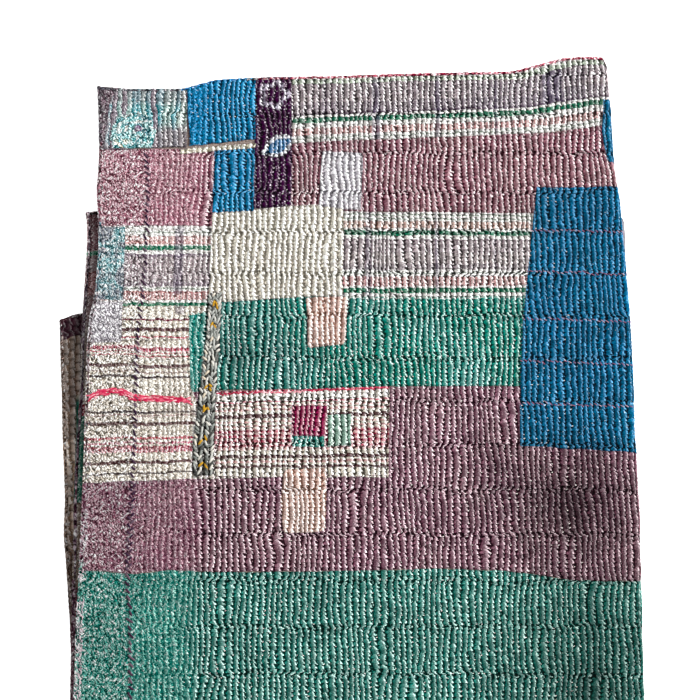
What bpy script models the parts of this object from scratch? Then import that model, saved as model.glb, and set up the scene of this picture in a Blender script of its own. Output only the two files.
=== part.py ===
"""A kantha quilt, folded and lying flat.

The quilt is one stitched cloth. It is folded in half along its length, so that its two side hems
meet at the left and the fold is at the right, and then the doubled cloth is folded back under
itself at the bottom. That gives four sheets: the front sheet, its inner half below it, and the
same two halves again as the lower pair, whose hems stop short of the top and stick out at the left.

Sizes are in metres. +X is towards the lengthwise fold, +Y towards the top hem, +Z off the surface.
A place on the cloth is given by two numbers. "across" runs 0 to 1 over the outer half from its side
hem to the fold, 1 to 2 round the fold, and 2 to 3 over the inner half back to its side hem. "along"
runs 0 to 1 down the upper pair from its hem, 1 to 2 round the bottom fold, and 2 to 3 up the lower
pair to the other hem.
"""

import math

import bpy
import numpy as np

MM = 0.001

# The cloth
SHEET = 4.0 * MM  # layers of old cloth stitched together, over the ribs
LAYER_GAP = 0.8 * MM  # air between two sheets that lie on each other
HEM_EDGE = 1.6 * MM  # thickness left at a hem's rounded edge
HEM_ROLL = 4.0 * MM  # how far in from the edge a hem reaches its full thickness

# The folds
FOLD_SWELL = 1.2 * MM  # how much further apart the two sheets stand at the lengthwise fold
FOLD_REACH = 60.0 * MM  # how far in from that fold they spread
TURN_SWELL = 0.9 * MM  # the same, for the two pairs at the bottom fold
TURN_REACH = 70.0 * MM
BOTTOM = -469.0 * MM  # where the upper pair starts to turn under
DRAPE = 90.0 * MM  # over this length the upper pair comes down past the lower pair's hem

# The quilting: rows of running stitch leave ribs that run from hem to hem
RIB_PITCH = 7.3 * MM
RIB_RELIEF = 1.7 * MM
PLAIN_RELIEF = 0.7 * MM  # the ribs are shallower beside the side hem
PLAIN_WIDTH = 130.0 * MM
PLAIN_FADE = 40.0 * MM
HEM_BAND = 12.0 * MM  # a flat band along the side hem, with no rib
FOLD_RIBS = 2  # ribs round the lengthwise fold
RIB_SWAY = 2.0 * MM  # how far a rib strays to each side
# The sway is a sum of waves, each with a step in radians from one rib, and one row, to the next
SWAY_WAVES = (
    {"per_rib": 0.34, "per_row": 2.4, "share": 0.67},
    {"per_rib": 0.93, "per_row": -1.9, "share": 0.33},
)
OUTER_WIDTH = 638.0 * MM  # side hem to fold, over the outer half

# Soft hills and hollows of the upper pair, each a bell shape
RISES = (
    {"x": 225.0 * MM, "y": -110.0 * MM, "wide": 60.0 * MM, "long": 260.0 * MM, "rise": -2.2 * MM},
    {"x": 292.0 * MM, "y": 60.0 * MM, "wide": 45.0 * MM, "long": 300.0 * MM, "rise": 2.0 * MM},
    {"x": -120.0 * MM, "y": -60.0 * MM, "wide": 130.0 * MM, "long": 150.0 * MM, "rise": 1.4 * MM},
    {"x": 60.0 * MM, "y": -300.0 * MM, "wide": 150.0 * MM, "long": 110.0 * MM, "rise": 1.6 * MM},
)
LIFT_OFF = 3.0 * MM  # the upper pair lies this far above the lower one on average

# Side outlines, in millimetres. Each row is a height on the page and the x of an edge there.
# The front sheet's side hem, and its lengthwise fold
FRONT = (
    # y, side hem, fold
    (478, -307, 327),
    (445, -307, 331),
    (391, -303, 332),
    (338, -300, 332),
    (301, -301, 334),
    (261, -297, 336),
    (226, -295, 338),
    (166, -297, 340),
    (147, -302, 341),
    (115, -304, 342),
    (-44, -302, 342),
    (-98, -302, 343),
    (-165, -302, 341),
    (-203, -304, 341),
    (-297, -302, 339),
    (-478, -302, 338),
)
INNER_TUCK = 5.0 * MM  # the front sheet's inner half stops this far short of its side hem

# The lower pair: inner half, outer half, fold
LOWER = (
    # y, inner half's side hem, outer half's side hem, fold
    (275, -315, -343, 339),
    (262, -313, -343, 342),
    (240, -312, -343, 343),
    (218, -312, -343, 341),
    (178, -313, -343, 337),
    (144, -314, -343, 338),
    (121, -314, -341, 339),
    (45, -313, -335, 339),
    (-3, -315, -332, 338),
    (-73, -315, -326, 339),
    (-113, -313, -325, 340),
    (-142, -313, -320, 339),
    (-215, -311, -312, 338),
    (-297, -309, -306, 337),
    (-478, -302, -302, 338),
)

# The two end hems: a place across the cloth, and the height of the hem there in millimetres
UPPER_HEM = (
    # across, y
    (0.00, 436),
    (0.05, 434),
    (0.17, 435),
    (0.23, 447),
    (0.31, 450),
    (0.38, 449),
    (0.60, 452),
    (0.82, 456),
    (0.875, 467),
    (0.92, 477),
    (0.97, 478),
    (1.00, 476),
    (1.50, 462),
    (2.00, 456),
    (2.20, 449),
    (2.60, 440),
    (3.00, 429),
)
LOWER_HEM = (
    # across, y
    (0.00, 141),
    (0.02, 150),
    (0.10, 156),
    (0.50, 205),
    (0.90, 262),
    (1.00, 270),
    (1.50, 266),
    (2.00, 272),
    (2.90, 278),
    (2.98, 279),
    (3.00, 275),
)
LOWER_HEM_TOP = 281.0 * MM  # the lower pair reaches no higher than this

# How finely each stretch of the cloth is divided
PLAIN_COLUMNS = 12  # over a half with no ribs
FOLD_STEPS = 8
TURN_STEPS = 3
UPPER_ROWS = (0.05, 0.10, 0.13, 0.16, 0.19, 0.22, 0.30, 0.39, 0.48, 0.57, 0.66, 0.75, 0.84, 0.93)
LOWER_ROWS = (0.15, 0.33, 0.50, 0.67, 0.84)

SHARP_EDGE = 24.0  # degrees; the ribs are shaded as ridges

CLOTH_COLOUR = (0.33, 0.16, 0.19, 1.0)
CLOTH_ROUGHNESS = 0.92


def column(table, index):
    """One column of a table in millimetres, as metres, with its first column ascending."""
    rows = np.array(sorted(table), dtype=float)
    return rows[:, 0] * MM, rows[:, index] * MM


def edge_x(y, table, index):
    """The x of an edge at the heights y."""
    heights, places = column(table, index)
    return np.interp(y, heights, places)


def hem_y(across, table):
    rows = np.array(table, dtype=float)
    return np.interp(across, rows[:, 0], rows[:, 1] * MM)


def ease(x):
    """0 below 0, 1 above 1, and a smooth curve between."""
    x = np.clip(x, 0.0, 1.0)
    return x * x * (3.0 - 2.0 * x)


def soft_rise(x, y):
    """The gentle hills and hollows of the upper pair."""
    height = np.full_like(x, LIFT_OFF)
    for hill in RISES:
        reach = ((x - hill["x"]) / hill["wide"]) ** 2 + ((y - hill["y"]) / hill["long"]) ** 2
        height = height + hill["rise"] * np.exp(-reach)
    return height


def place(across, along, lift):
    """Points of the cloth's surface that lies lift outside the cloth's middle."""
    on_lower = np.clip(along - 1.0, 0.0, 1.0)
    turned = on_lower * math.pi
    bent = np.clip(across - 1.0, 0.0, 1.0) * math.pi
    fraction = np.where(across < 1.5, np.clip(across, 0.0, 1.0), np.clip(3.0 - across, 0.0, 1.0))
    inner = across > 1.5

    down = np.where(along < 1.5, np.clip(along, 0.0, 1.0), np.clip(3.0 - along, 0.0, 1.0))
    hem = np.where(along < 1.5, hem_y(across, UPPER_HEM), hem_y(across, LOWER_HEM))
    y = hem + (BOTTOM - hem) * down

    upper_side = edge_x(y, FRONT, 1) + np.where(inner, INNER_TUCK, 0.0)
    lower_side = np.where(inner, edge_x(y, LOWER, 1), edge_x(y, LOWER, 2))
    side = upper_side + (lower_side - upper_side) * on_lower
    fold = edge_x(y, FRONT, 2) + (edge_x(y, LOWER, 3) - edge_x(y, FRONT, 2)) * on_lower

    from_fold = (1.0 - fraction) * OUTER_WIDTH
    half_gap = (SHEET + LAYER_GAP) / 2 + FOLD_SWELL * ease(1.0 - from_fold / FOLD_REACH)
    bend_x = fold - half_gap - SHEET / 2
    x = side + (bend_x - side) * fraction + (half_gap + lift) * np.sin(bent)
    out = (half_gap + lift) * np.cos(bent)

    over_lower = ease((LOWER_HEM_TOP + DRAPE - y) / DRAPE)
    near_turn = ease(1.0 - (y - BOTTOM) / TURN_REACH)
    free = ease((LOWER_HEM_TOP - y) / DRAPE) * ease(from_fold / FOLD_REACH) * (1.0 - near_turn)
    radius = (half_gap + (SHEET + LAYER_GAP) / 2) * over_lower + TURN_SWELL * near_turn
    radius = radius + soft_rise(x, y) / 2 * free
    middle = radius + half_gap + SHEET / 2
    z = middle + (radius + out) * np.cos(turned)
    y = y - (radius + out) * np.sin(turned)
    return np.stack([x, y, z], axis=-1)


def rib_columns():
    """Places of the ribs' crests and valleys over the outer half, with 1 for a crest and 0 for a valley."""
    first = HEM_BAND / OUTER_WIDTH
    ribs = round((OUTER_WIDTH - HEM_BAND) / RIB_PITCH)
    places = np.linspace(first, 1.0, 2 * ribs + 1)
    return places, np.arange(2 * ribs + 1) % 2


def outer_columns():
    """The outer surface's places across the cloth, how much of the relief each one is sunk, and its sway."""
    places, crest = rib_columns()
    depth = PLAIN_RELIEF + (RIB_RELIEF - PLAIN_RELIEF) * ease(
        (places * OUTER_WIDTH - PLAIN_WIDTH) / PLAIN_FADE
    )
    sunk = depth * (1 - crest)
    sunk[0] = 0.0
    sway = np.full(len(places), RIB_SWAY / OUTER_WIDTH)
    sway[[0, -1]] = 0.0
    roll = HEM_ROLL / OUTER_WIDTH
    bend = np.linspace(1.0, 2.0, FOLD_STEPS + 1)[1:]
    inner = np.linspace(2.0, 3.0, PLAIN_COLUMNS + 1)[1:-1]
    across = np.concatenate([[0.0, roll], places, bend, inner, [3.0 - roll, 3.0]])
    edge = (SHEET - HEM_EDGE) / 2
    bend_sunk = RIB_RELIEF * (0.5 + 0.5 * np.cos(2 * math.pi * FOLD_RIBS * (bend - 1.0)))
    bend_sunk[-1] = 0.0
    plain = np.zeros(len(inner))
    sunk = np.concatenate([[edge, 0.0], sunk, bend_sunk, plain, [0.0, edge]])
    still = np.zeros(len(bend) + len(inner) + 2)
    return across, sunk, np.concatenate([[0.0, 0.0], sway, still])


def inner_columns():
    """The inner surface's places across the cloth, and how far each one is sunk."""
    outer = np.linspace(0.0, 1.0, PLAIN_COLUMNS + 1)[1:]
    bend = np.linspace(1.0, 2.0, FOLD_STEPS // 2 + 1)[1:]
    inner = np.linspace(2.0, 3.0, PLAIN_COLUMNS + 1)[1:-1]
    roll = HEM_ROLL / OUTER_WIDTH
    across = np.concatenate([[0.0, roll], outer, bend, inner, [3.0 - roll, 3.0]])
    sunk = np.zeros(len(across))
    sunk[[0, -1]] = (SHEET - HEM_EDGE) / 2
    return across, sunk


def rows():
    """Places along the cloth, and how far each one is sunk."""
    roll = HEM_ROLL / (2 * -BOTTOM)
    turn = np.linspace(1.0, 2.0, TURN_STEPS + 1)
    lower = 3.0 - np.array(LOWER_ROWS)[::-1]
    along = np.concatenate([[0.0, roll], UPPER_ROWS, turn, lower, [3.0 - roll, 3.0]])
    sunk = np.zeros(len(along))
    sunk[[0, -1]] = (SHEET - HEM_EDGE) / 2
    return along, sunk


def surface(columns, side):
    """A grid of points on one face of the cloth: side is 1 for the outer face and -1 for the inner one."""
    across, column_sunk = columns[:2]
    along, row_sunk = rows()
    grid_across, grid_along = np.meshgrid(across, along)
    if len(columns) > 2:
        rib = np.arange(len(across)) / 2
        row = np.arange(len(along))[:, None]
        waves = [w["share"] * np.sin(w["per_rib"] * rib + w["per_row"] * row) for w in SWAY_WAVES]
        grid_across = grid_across + columns[2] * sum(waves)
    sunk = np.maximum(column_sunk[None, :], row_sunk[:, None])
    return place(grid_across, grid_along, side * (SHEET / 2 - sunk))


def grid_faces(count, width, start, flip):
    """Quads of a grid of count rows, each of width points."""
    corner = start + np.arange(count - 1)[:, None] * width + np.arange(width - 1)
    corner = corner.reshape(-1)
    quads = np.stack([corner, corner + 1, corner + width + 1, corner + width], axis=1)
    return (quads[:, ::-1] if flip else quads).tolist()


def zip_edges(first, second, first_at, second_at, flip):
    """Triangles that close the gap between two edges whose points run the same way."""
    faces = []
    i = j = 0
    while i < len(first) - 1 or j < len(second) - 1:
        step_first = j == len(second) - 1 or (
            i < len(first) - 1 and first_at[i + 1] <= second_at[j + 1]
        )
        if step_first:
            face = (first[i], first[i + 1], second[j])
            i += 1
        else:
            face = (first[i], second[j + 1], second[j])
            j += 1
        faces.append(face[::-1] if flip else face)
    return faces


def build_quilt():
    """The two faces of the cloth as grids, closed along the two end hems and the two side hems."""
    outer_set, inner_set = outer_columns(), inner_columns()
    outer, inner = surface(outer_set, 1.0), surface(inner_set, -1.0)
    count, outer_width, _ = outer.shape
    inner_width = inner.shape[1]
    start = count * outer_width
    outer_index = np.arange(start).reshape(count, outer_width)
    inner_index = start + np.arange(count * inner_width).reshape(count, inner_width)
    along = rows()[0]

    faces = grid_faces(count, outer_width, 0, flip=True)
    faces += grid_faces(count, inner_width, start, flip=False)
    faces += zip_edges(outer_index[0], inner_index[0], outer_set[0], inner_set[0], flip=False)
    faces += zip_edges(outer_index[-1], inner_index[-1], outer_set[0], inner_set[0], flip=True)
    faces += zip_edges(outer_index[:, 0], inner_index[:, 0], along, along, flip=True)
    faces += zip_edges(outer_index[:, -1], inner_index[:, -1], along, along, flip=False)

    points = np.concatenate([outer.reshape(-1, 3), inner.reshape(-1, 3)])
    mesh = bpy.data.meshes.new("quilt")
    mesh.from_pydata(points.tolist(), [], [tuple(int(i) for i in face) for face in faces])
    mesh.validate()
    mesh.shade_smooth()
    mesh.set_sharp_from_angle(angle=math.radians(SHARP_EDGE))
    quilt = bpy.data.objects.new("quilt", mesh)
    bpy.context.scene.collection.objects.link(quilt)
    return quilt


def cloth_material():
    material = bpy.data.materials.new("stitched_cotton")
    material.use_nodes = True
    shader = material.node_tree.nodes["Principled BSDF"]
    shader.inputs["Base Color"].default_value = CLOTH_COLOUR
    shader.inputs["Roughness"].default_value = CLOTH_ROUGHNESS
    shader.inputs["Metallic"].default_value = 0.0
    return material


def main():
    for old in list(bpy.data.objects):
        bpy.data.objects.remove(old, do_unlink=True)
    quilt = build_quilt()
    quilt.data.materials.append(cloth_material())


main()
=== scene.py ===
"""A folded kantha quilt: stitched cloth bands, repair patches, running stitches and hems.

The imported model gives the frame. Every piece here is a surface worked out from the same folds, so
that it lies on the quilt's own form. Places on the front are given on a "page" in metres: x to the
right, y towards the top hem. Past the lengthwise fold, x goes on as the length round it, and past
the bottom turn, y goes on as the length round that.
"""

from __future__ import annotations

import logging  # noqa: E402
import math  # noqa: E402
from dataclasses import dataclass, field, replace  # noqa: E402
from enum import Enum  # noqa: E402
from functools import cache  # noqa: E402
from typing import Any, Callable  # noqa: E402

import bpy  # noqa: E402
import numpy as np  # noqa: E402
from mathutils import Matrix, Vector  # noqa: E402

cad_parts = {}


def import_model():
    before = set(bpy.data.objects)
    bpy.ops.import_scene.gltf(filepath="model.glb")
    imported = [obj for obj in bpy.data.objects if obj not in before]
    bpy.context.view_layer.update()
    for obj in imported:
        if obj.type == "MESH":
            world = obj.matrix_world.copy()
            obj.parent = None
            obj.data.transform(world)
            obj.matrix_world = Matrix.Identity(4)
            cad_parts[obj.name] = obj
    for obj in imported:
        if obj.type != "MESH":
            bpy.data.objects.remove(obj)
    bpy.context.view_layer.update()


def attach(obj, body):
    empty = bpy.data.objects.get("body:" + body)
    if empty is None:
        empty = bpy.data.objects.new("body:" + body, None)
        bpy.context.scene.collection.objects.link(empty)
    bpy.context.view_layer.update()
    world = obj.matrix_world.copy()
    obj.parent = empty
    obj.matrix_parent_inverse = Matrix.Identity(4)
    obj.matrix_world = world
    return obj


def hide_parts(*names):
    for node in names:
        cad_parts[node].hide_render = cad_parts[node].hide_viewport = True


MM = 0.001
Array = np.ndarray
Colour = tuple[float, float, float]
Table = tuple[tuple[float, ...], ...]
log = logging.getLogger("quilt")


def dye(*levels: int) -> Colour:
    """A colour in linear light, from its red, green and blue as 0 to 255."""
    parts = np.array(levels) / 255.0
    return tuple(np.where(parts <= 0.04045, parts / 12.92, ((parts + 0.055) / 1.055) ** 2.4).tolist())


def ease(x: Array) -> Array:
    """0 below 0, 1 above 1, and 3x^2 - 2x^3 between."""
    x = np.clip(x, 0.0, 1.0)
    return x * x * (3.0 - 2.0 * x)


@dataclass(frozen=True)
class SoftNoise:
    """Random values on a square lattice, eased from one to the next."""

    seed: int
    cell: float
    size: int = 128

    def at(self, x: Array, y: Array) -> Array:
        """Values from -1 to 1 at the points.

        Args:
            x, y: Coordinates, in metres.

        Returns:
            The four nearest lattice values, weighed by the eased distance in each direction.
        """
        table = np.random.default_rng(self.seed).uniform(-1.0, 1.0, (self.size, self.size))
        gx, gy = np.asarray(x) / self.cell, np.asarray(y) / self.cell
        ix, iy = np.floor(gx).astype(int), np.floor(gy).astype(int)
        fx, fy = ease(gx - ix), ease(gy - iy)
        a, b = ix % self.size, (ix + 1) % self.size
        c, d = iy % self.size, (iy + 1) % self.size
        low = table[a, c] * (1 - fx) + table[b, c] * fx
        high = table[a, d] * (1 - fx) + table[b, d] * fx
        return low * (1 - fy) + high * fy


def softened(values: Array, reach: int, blur: float) -> Array:
    """Values on even steps, softened.

    Args:
        values: The values.
        reach: How many steps on either side count.
        blur: The bell curve's width, in steps.

    Returns:
        The mean of each value's neighbours under a bell curve.
    """
    bell = np.exp(-((np.arange(-reach, reach + 1) / blur) ** 2))
    return np.convolve(np.pad(values, reach, mode="edge"), bell / bell.sum(), mode="valid")


def along_table(table: Table, column: int, blur: float) -> tuple[Array, Array]:
    """A column of a table in millimetres as an evenly spaced, softened curve.

    Args:
        table: Rows that start with a place in millimetres.
        column: Which of the row's numbers to take.
        blur: How far the corners are softened, in metres.

    Returns:
        Places and values in metres: each value is the mean of its neighbours under a bell curve.
    """
    rows = np.array(sorted(table), dtype=float) * MM
    beyond = 100.0 * MM
    places = np.arange(rows[0, 0] - beyond, rows[-1, 0] + beyond, MM)
    return places, softened(np.interp(places, rows[:, 0], rows[:, column]), 40, blur / MM)


def bell_shapes(table: tuple[tuple[float, ...], ...], x: Array, y: Array) -> Array:
    """A sum of bell shapes over the page.

    Args:
        table: For each, its x, y, width and length in millimetres, and its height.
        x, y: Page places.

    Returns:
        Each height times e to the minus squared distance, in widths and lengths.
    """
    value = np.zeros_like(x)
    for at_x, at_y, wide, long, height in table:
        value = value + height * np.exp(-(((x / MM - at_x) / wide) ** 2 + ((y / MM - at_y) / long) ** 2))
    return value


class Half(Enum):
    """Which pair of sheets a table of hems or edges is for."""

    UPPER = 0
    LOWER = 1


@dataclass(frozen=True)
class QuiltForm:
    """The folded form of the cloth, with the sizes of the quilt's own solid.

    The tables are in millimetres: front is y, side x, fold x; lower is y, the inner and the outer
    half's side x, fold x; the hems are a place across and its y; rises are bell shapes.

    "across" runs 0 to 1 over the outer half from its side hem, 1 to 2 round the lengthwise fold,
    and 2 to 3 over the inner half. "along" runs 0 to 1 down the upper pair, 1 to 2 round the
    bottom turn, and 2 to 3 up the lower pair.
    """

    sheet: float = 4.0 * MM
    layer_gap: float = 0.8 * MM
    fold_swell: float = 1.2 * MM
    fold_reach: float = 60.0 * MM
    turn_swell: float = 0.9 * MM
    turn_reach: float = 70.0 * MM
    bottom: float = -469.0 * MM
    drape: float = 90.0 * MM
    outer_width: float = 638.0 * MM
    inner_tuck: float = 5.0 * MM
    lower_hem_top: float = 281.0 * MM
    lift_off: float = 3.0 * MM
    front: Table = (
        (478, -310, 328), (445, -310, 331), (391, -306, 332), (338, -303, 332), (301, -303, 334),
        (261, -299, 336), (226, -297, 338), (166, -299, 340), (147, -304, 341), (115, -306, 341),
        (-44, -304, 341), (-98, -304, 342), (-165, -304, 340), (-203, -305, 340),
        (-297, -304, 338), (-478, -303, 337),
    )
    lower: Table = (
        (275, -317, -344, 339), (262, -315, -344, 342), (240, -314, -344, 343),
        (218, -314, -344, 341), (178, -315, -344, 337), (144, -316, -344, 338),
        (121, -316, -343, 339), (45, -315, -337, 339), (-3, -317, -334, 338),
        (-73, -317, -328, 339), (-113, -315, -328, 340), (-142, -315, -324, 339),
        (-215, -313, -316, 338), (-297, -311, -309, 337), (-478, -303, -304, 338),
    )
    upper_hem: Table = (
        (0.00, 440), (0.05, 437), (0.17, 437), (0.23, 449), (0.31, 452), (0.38, 453),
        (0.48, 454), (0.60, 457), (0.82, 460), (0.875, 470), (0.92, 478), (0.97, 479), (1.00, 477),
        (1.50, 462), (2.00, 456), (2.20, 449), (2.60, 440), (3.00, 429),
    )
    lower_hem: Table = (
        (0.00, 141), (0.02, 150), (0.10, 156), (0.50, 205), (0.90, 262), (1.00, 270),
        (1.50, 266), (2.00, 272), (2.90, 278), (2.98, 279), (3.00, 275),
    )
    rises: Table = (
        (225, -110, 60, 260, -2.2), (292, 60, 45, 300, 2.0), (-120, -60, 130, 150, 1.4),
        (60, -300, 150, 110, 1.6),
    )
    curves: dict[str, tuple[Array, Array]] = field(default_factory=dict)

    def __post_init__(self) -> None:
        """Softens each outline once."""
        for name, table, column in (
            ("side", self.front, 1), ("fold", self.front, 2), ("low_inner", self.lower, 1),
            ("low_outer", self.lower, 2), ("low_fold", self.lower, 3),
        ):
            self.curves[name] = along_table(table, column, 7.0 * MM)

    def edge(self, name: str, y: Array) -> Array:
        """The x of a named edge at the heights y."""
        return np.interp(y, *self.curves[name])

    def hem(self, across: Array, half: Half) -> Array:
        """The y of an end hem.

        Args:
            across: Places across the cloth, 0 to 3.
            half: Which pair of sheets the hem is on.

        Returns:
            The table's straight runs with their corners softened, in metres.
        """
        rows = np.array(self.upper_hem if half is Half.UPPER else self.lower_hem)
        places = np.arange(0.0, 3.001, 0.004)
        values = np.interp(places, rows[:, 0], rows[:, 1] * MM)
        return np.interp(across, places, softened(values, 8, 4.0))

    def half_gap(self, from_fold: Array) -> Array:
        """Half the distance between two sheets' middles: it swells towards the fold."""
        swell = self.fold_swell * ease(1.0 - from_fold / self.fold_reach)
        return (self.sheet + self.layer_gap) / 2 + swell

    def soft_rise(self, x: Array, y: Array) -> Array:
        """The gentle hills and hollows of the upper pair: a sum of bell shapes."""
        return self.lift_off + bell_shapes(self.rises, x, y) * MM

    def place(self, across: Array, along: Array, lift: Array | float) -> Array:
        """Points at a height above the cloth's middle.

        Args:
            across: Places across the cloth, 0 to 3.
            along: Places along the cloth, 0 to 3.
            lift: Distance from the middle, positive on the outer face.

        Returns:
            Points of shape (..., 3): the section is a half circle round the fold and the turn.
        """
        across, along = np.broadcast_arrays(across, along)
        on_lower = np.clip(along - 1.0, 0.0, 1.0)
        turned = on_lower * math.pi
        bent = np.clip(across - 1.0, 0.0, 1.0) * math.pi
        outer = np.clip(across, 0.0, 1.0)
        fraction = np.where(across < 1.5, outer, np.clip(3.0 - across, 0.0, 1.0))
        inner = across > 1.5
        upper = np.clip(along, 0.0, 1.0)
        down = np.where(along < 1.5, upper, np.clip(3.0 - along, 0.0, 1.0))
        hem = np.where(along < 1.5, self.hem(across, Half.UPPER), self.hem(across, Half.LOWER))
        y = hem + (self.bottom - hem) * down
        upper_side = self.edge("side", y) + np.where(inner, self.inner_tuck, 0.0)
        lower_side = np.where(inner, self.edge("low_inner", y), self.edge("low_outer", y))
        side = upper_side + (lower_side - upper_side) * on_lower
        fold = self.edge("fold", y) + (self.edge("low_fold", y) - self.edge("fold", y)) * on_lower
        from_fold = (1.0 - fraction) * self.outer_width
        half_gap = self.half_gap(from_fold)
        bend_x = fold - half_gap - self.sheet / 2
        x = side + (bend_x - side) * fraction + (half_gap + lift) * np.sin(bent)
        out = (half_gap + lift) * np.cos(bent)
        over_lower = ease((self.lower_hem_top + self.drape - y) / self.drape)
        near_turn = ease(1.0 - (y - self.bottom) / self.turn_reach)
        free = ease((self.lower_hem_top - y) / self.drape)
        free = free * ease(from_fold / self.fold_reach) * (1.0 - near_turn)
        radius = (half_gap + (self.sheet + self.layer_gap) / 2) * over_lower
        radius = radius + self.turn_swell * near_turn + self.soft_rise(x, y) / 2 * free
        z = radius + half_gap + self.sheet / 2 + (radius + out) * np.cos(turned)
        return np.stack([x, y - (radius + out) * np.sin(turned), z], axis=-1)

    @property
    def fold_arc(self) -> float:
        """Length of the outer face round the lengthwise fold."""
        return math.pi * ((self.sheet + self.layer_gap) / 2 + self.fold_swell + self.sheet / 2)

    @property
    def turn_arc(self) -> float:
        """Length of the outer face round the bottom turn."""
        pair = 1.5 * (self.sheet + self.layer_gap) + self.turn_swell + self.sheet / 2
        return math.pi * pair

    def bend_x(self, y: Array) -> Array:
        """The page x where the front sheet starts to turn round the lengthwise fold."""
        return self.edge("fold", y) - self.fold_arc / math.pi

    def locate(self, x: Array, y: Array) -> tuple[Array, Array]:
        """Places on the cloth of points on the page.

        Args:
            x, y: Page places, in metres.

        Returns:
            (across, along): shares of the flat width or height, then of the arc.
        """
        height = np.maximum(y, self.bottom)
        side, fold = self.edge("side", height), self.edge("fold", height)
        bend = self.bend_x(height)
        share = (x - side) / (bend - side)
        spread = self.half_gap((1.0 - share) * self.outer_width)
        share = (x - side) / (fold - spread - self.sheet / 2 - side)
        past = x - bend
        round_fold = np.where(
            past < self.fold_arc,
            1.0 + past / self.fold_arc,
            2.0 + (past - self.fold_arc) / self.outer_width,
        )
        across = np.where(past <= 0.0, np.clip(share, 0.0, 1.0), round_fold)
        hem, low = self.hem(across, Half.UPPER), self.hem(across, Half.LOWER)
        under = self.bottom - y
        turned = np.where(
            under < self.turn_arc,
            1.0 + under / self.turn_arc,
            2.0 + (under - self.turn_arc) / (low - self.bottom),
        )
        flat = np.clip((hem - y) / (hem - self.bottom), 0.0, 1.0)
        return across, np.where(under <= 0.0, flat, turned)

    def on_page(self, x: Array, y: Array, height: Array | float) -> Array:
        """Points over the page, at a height from the outer face's crests (negative is sunk)."""
        across, along = self.locate(x, y)
        return self.place(across, along, self.sheet / 2 + height)


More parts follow.
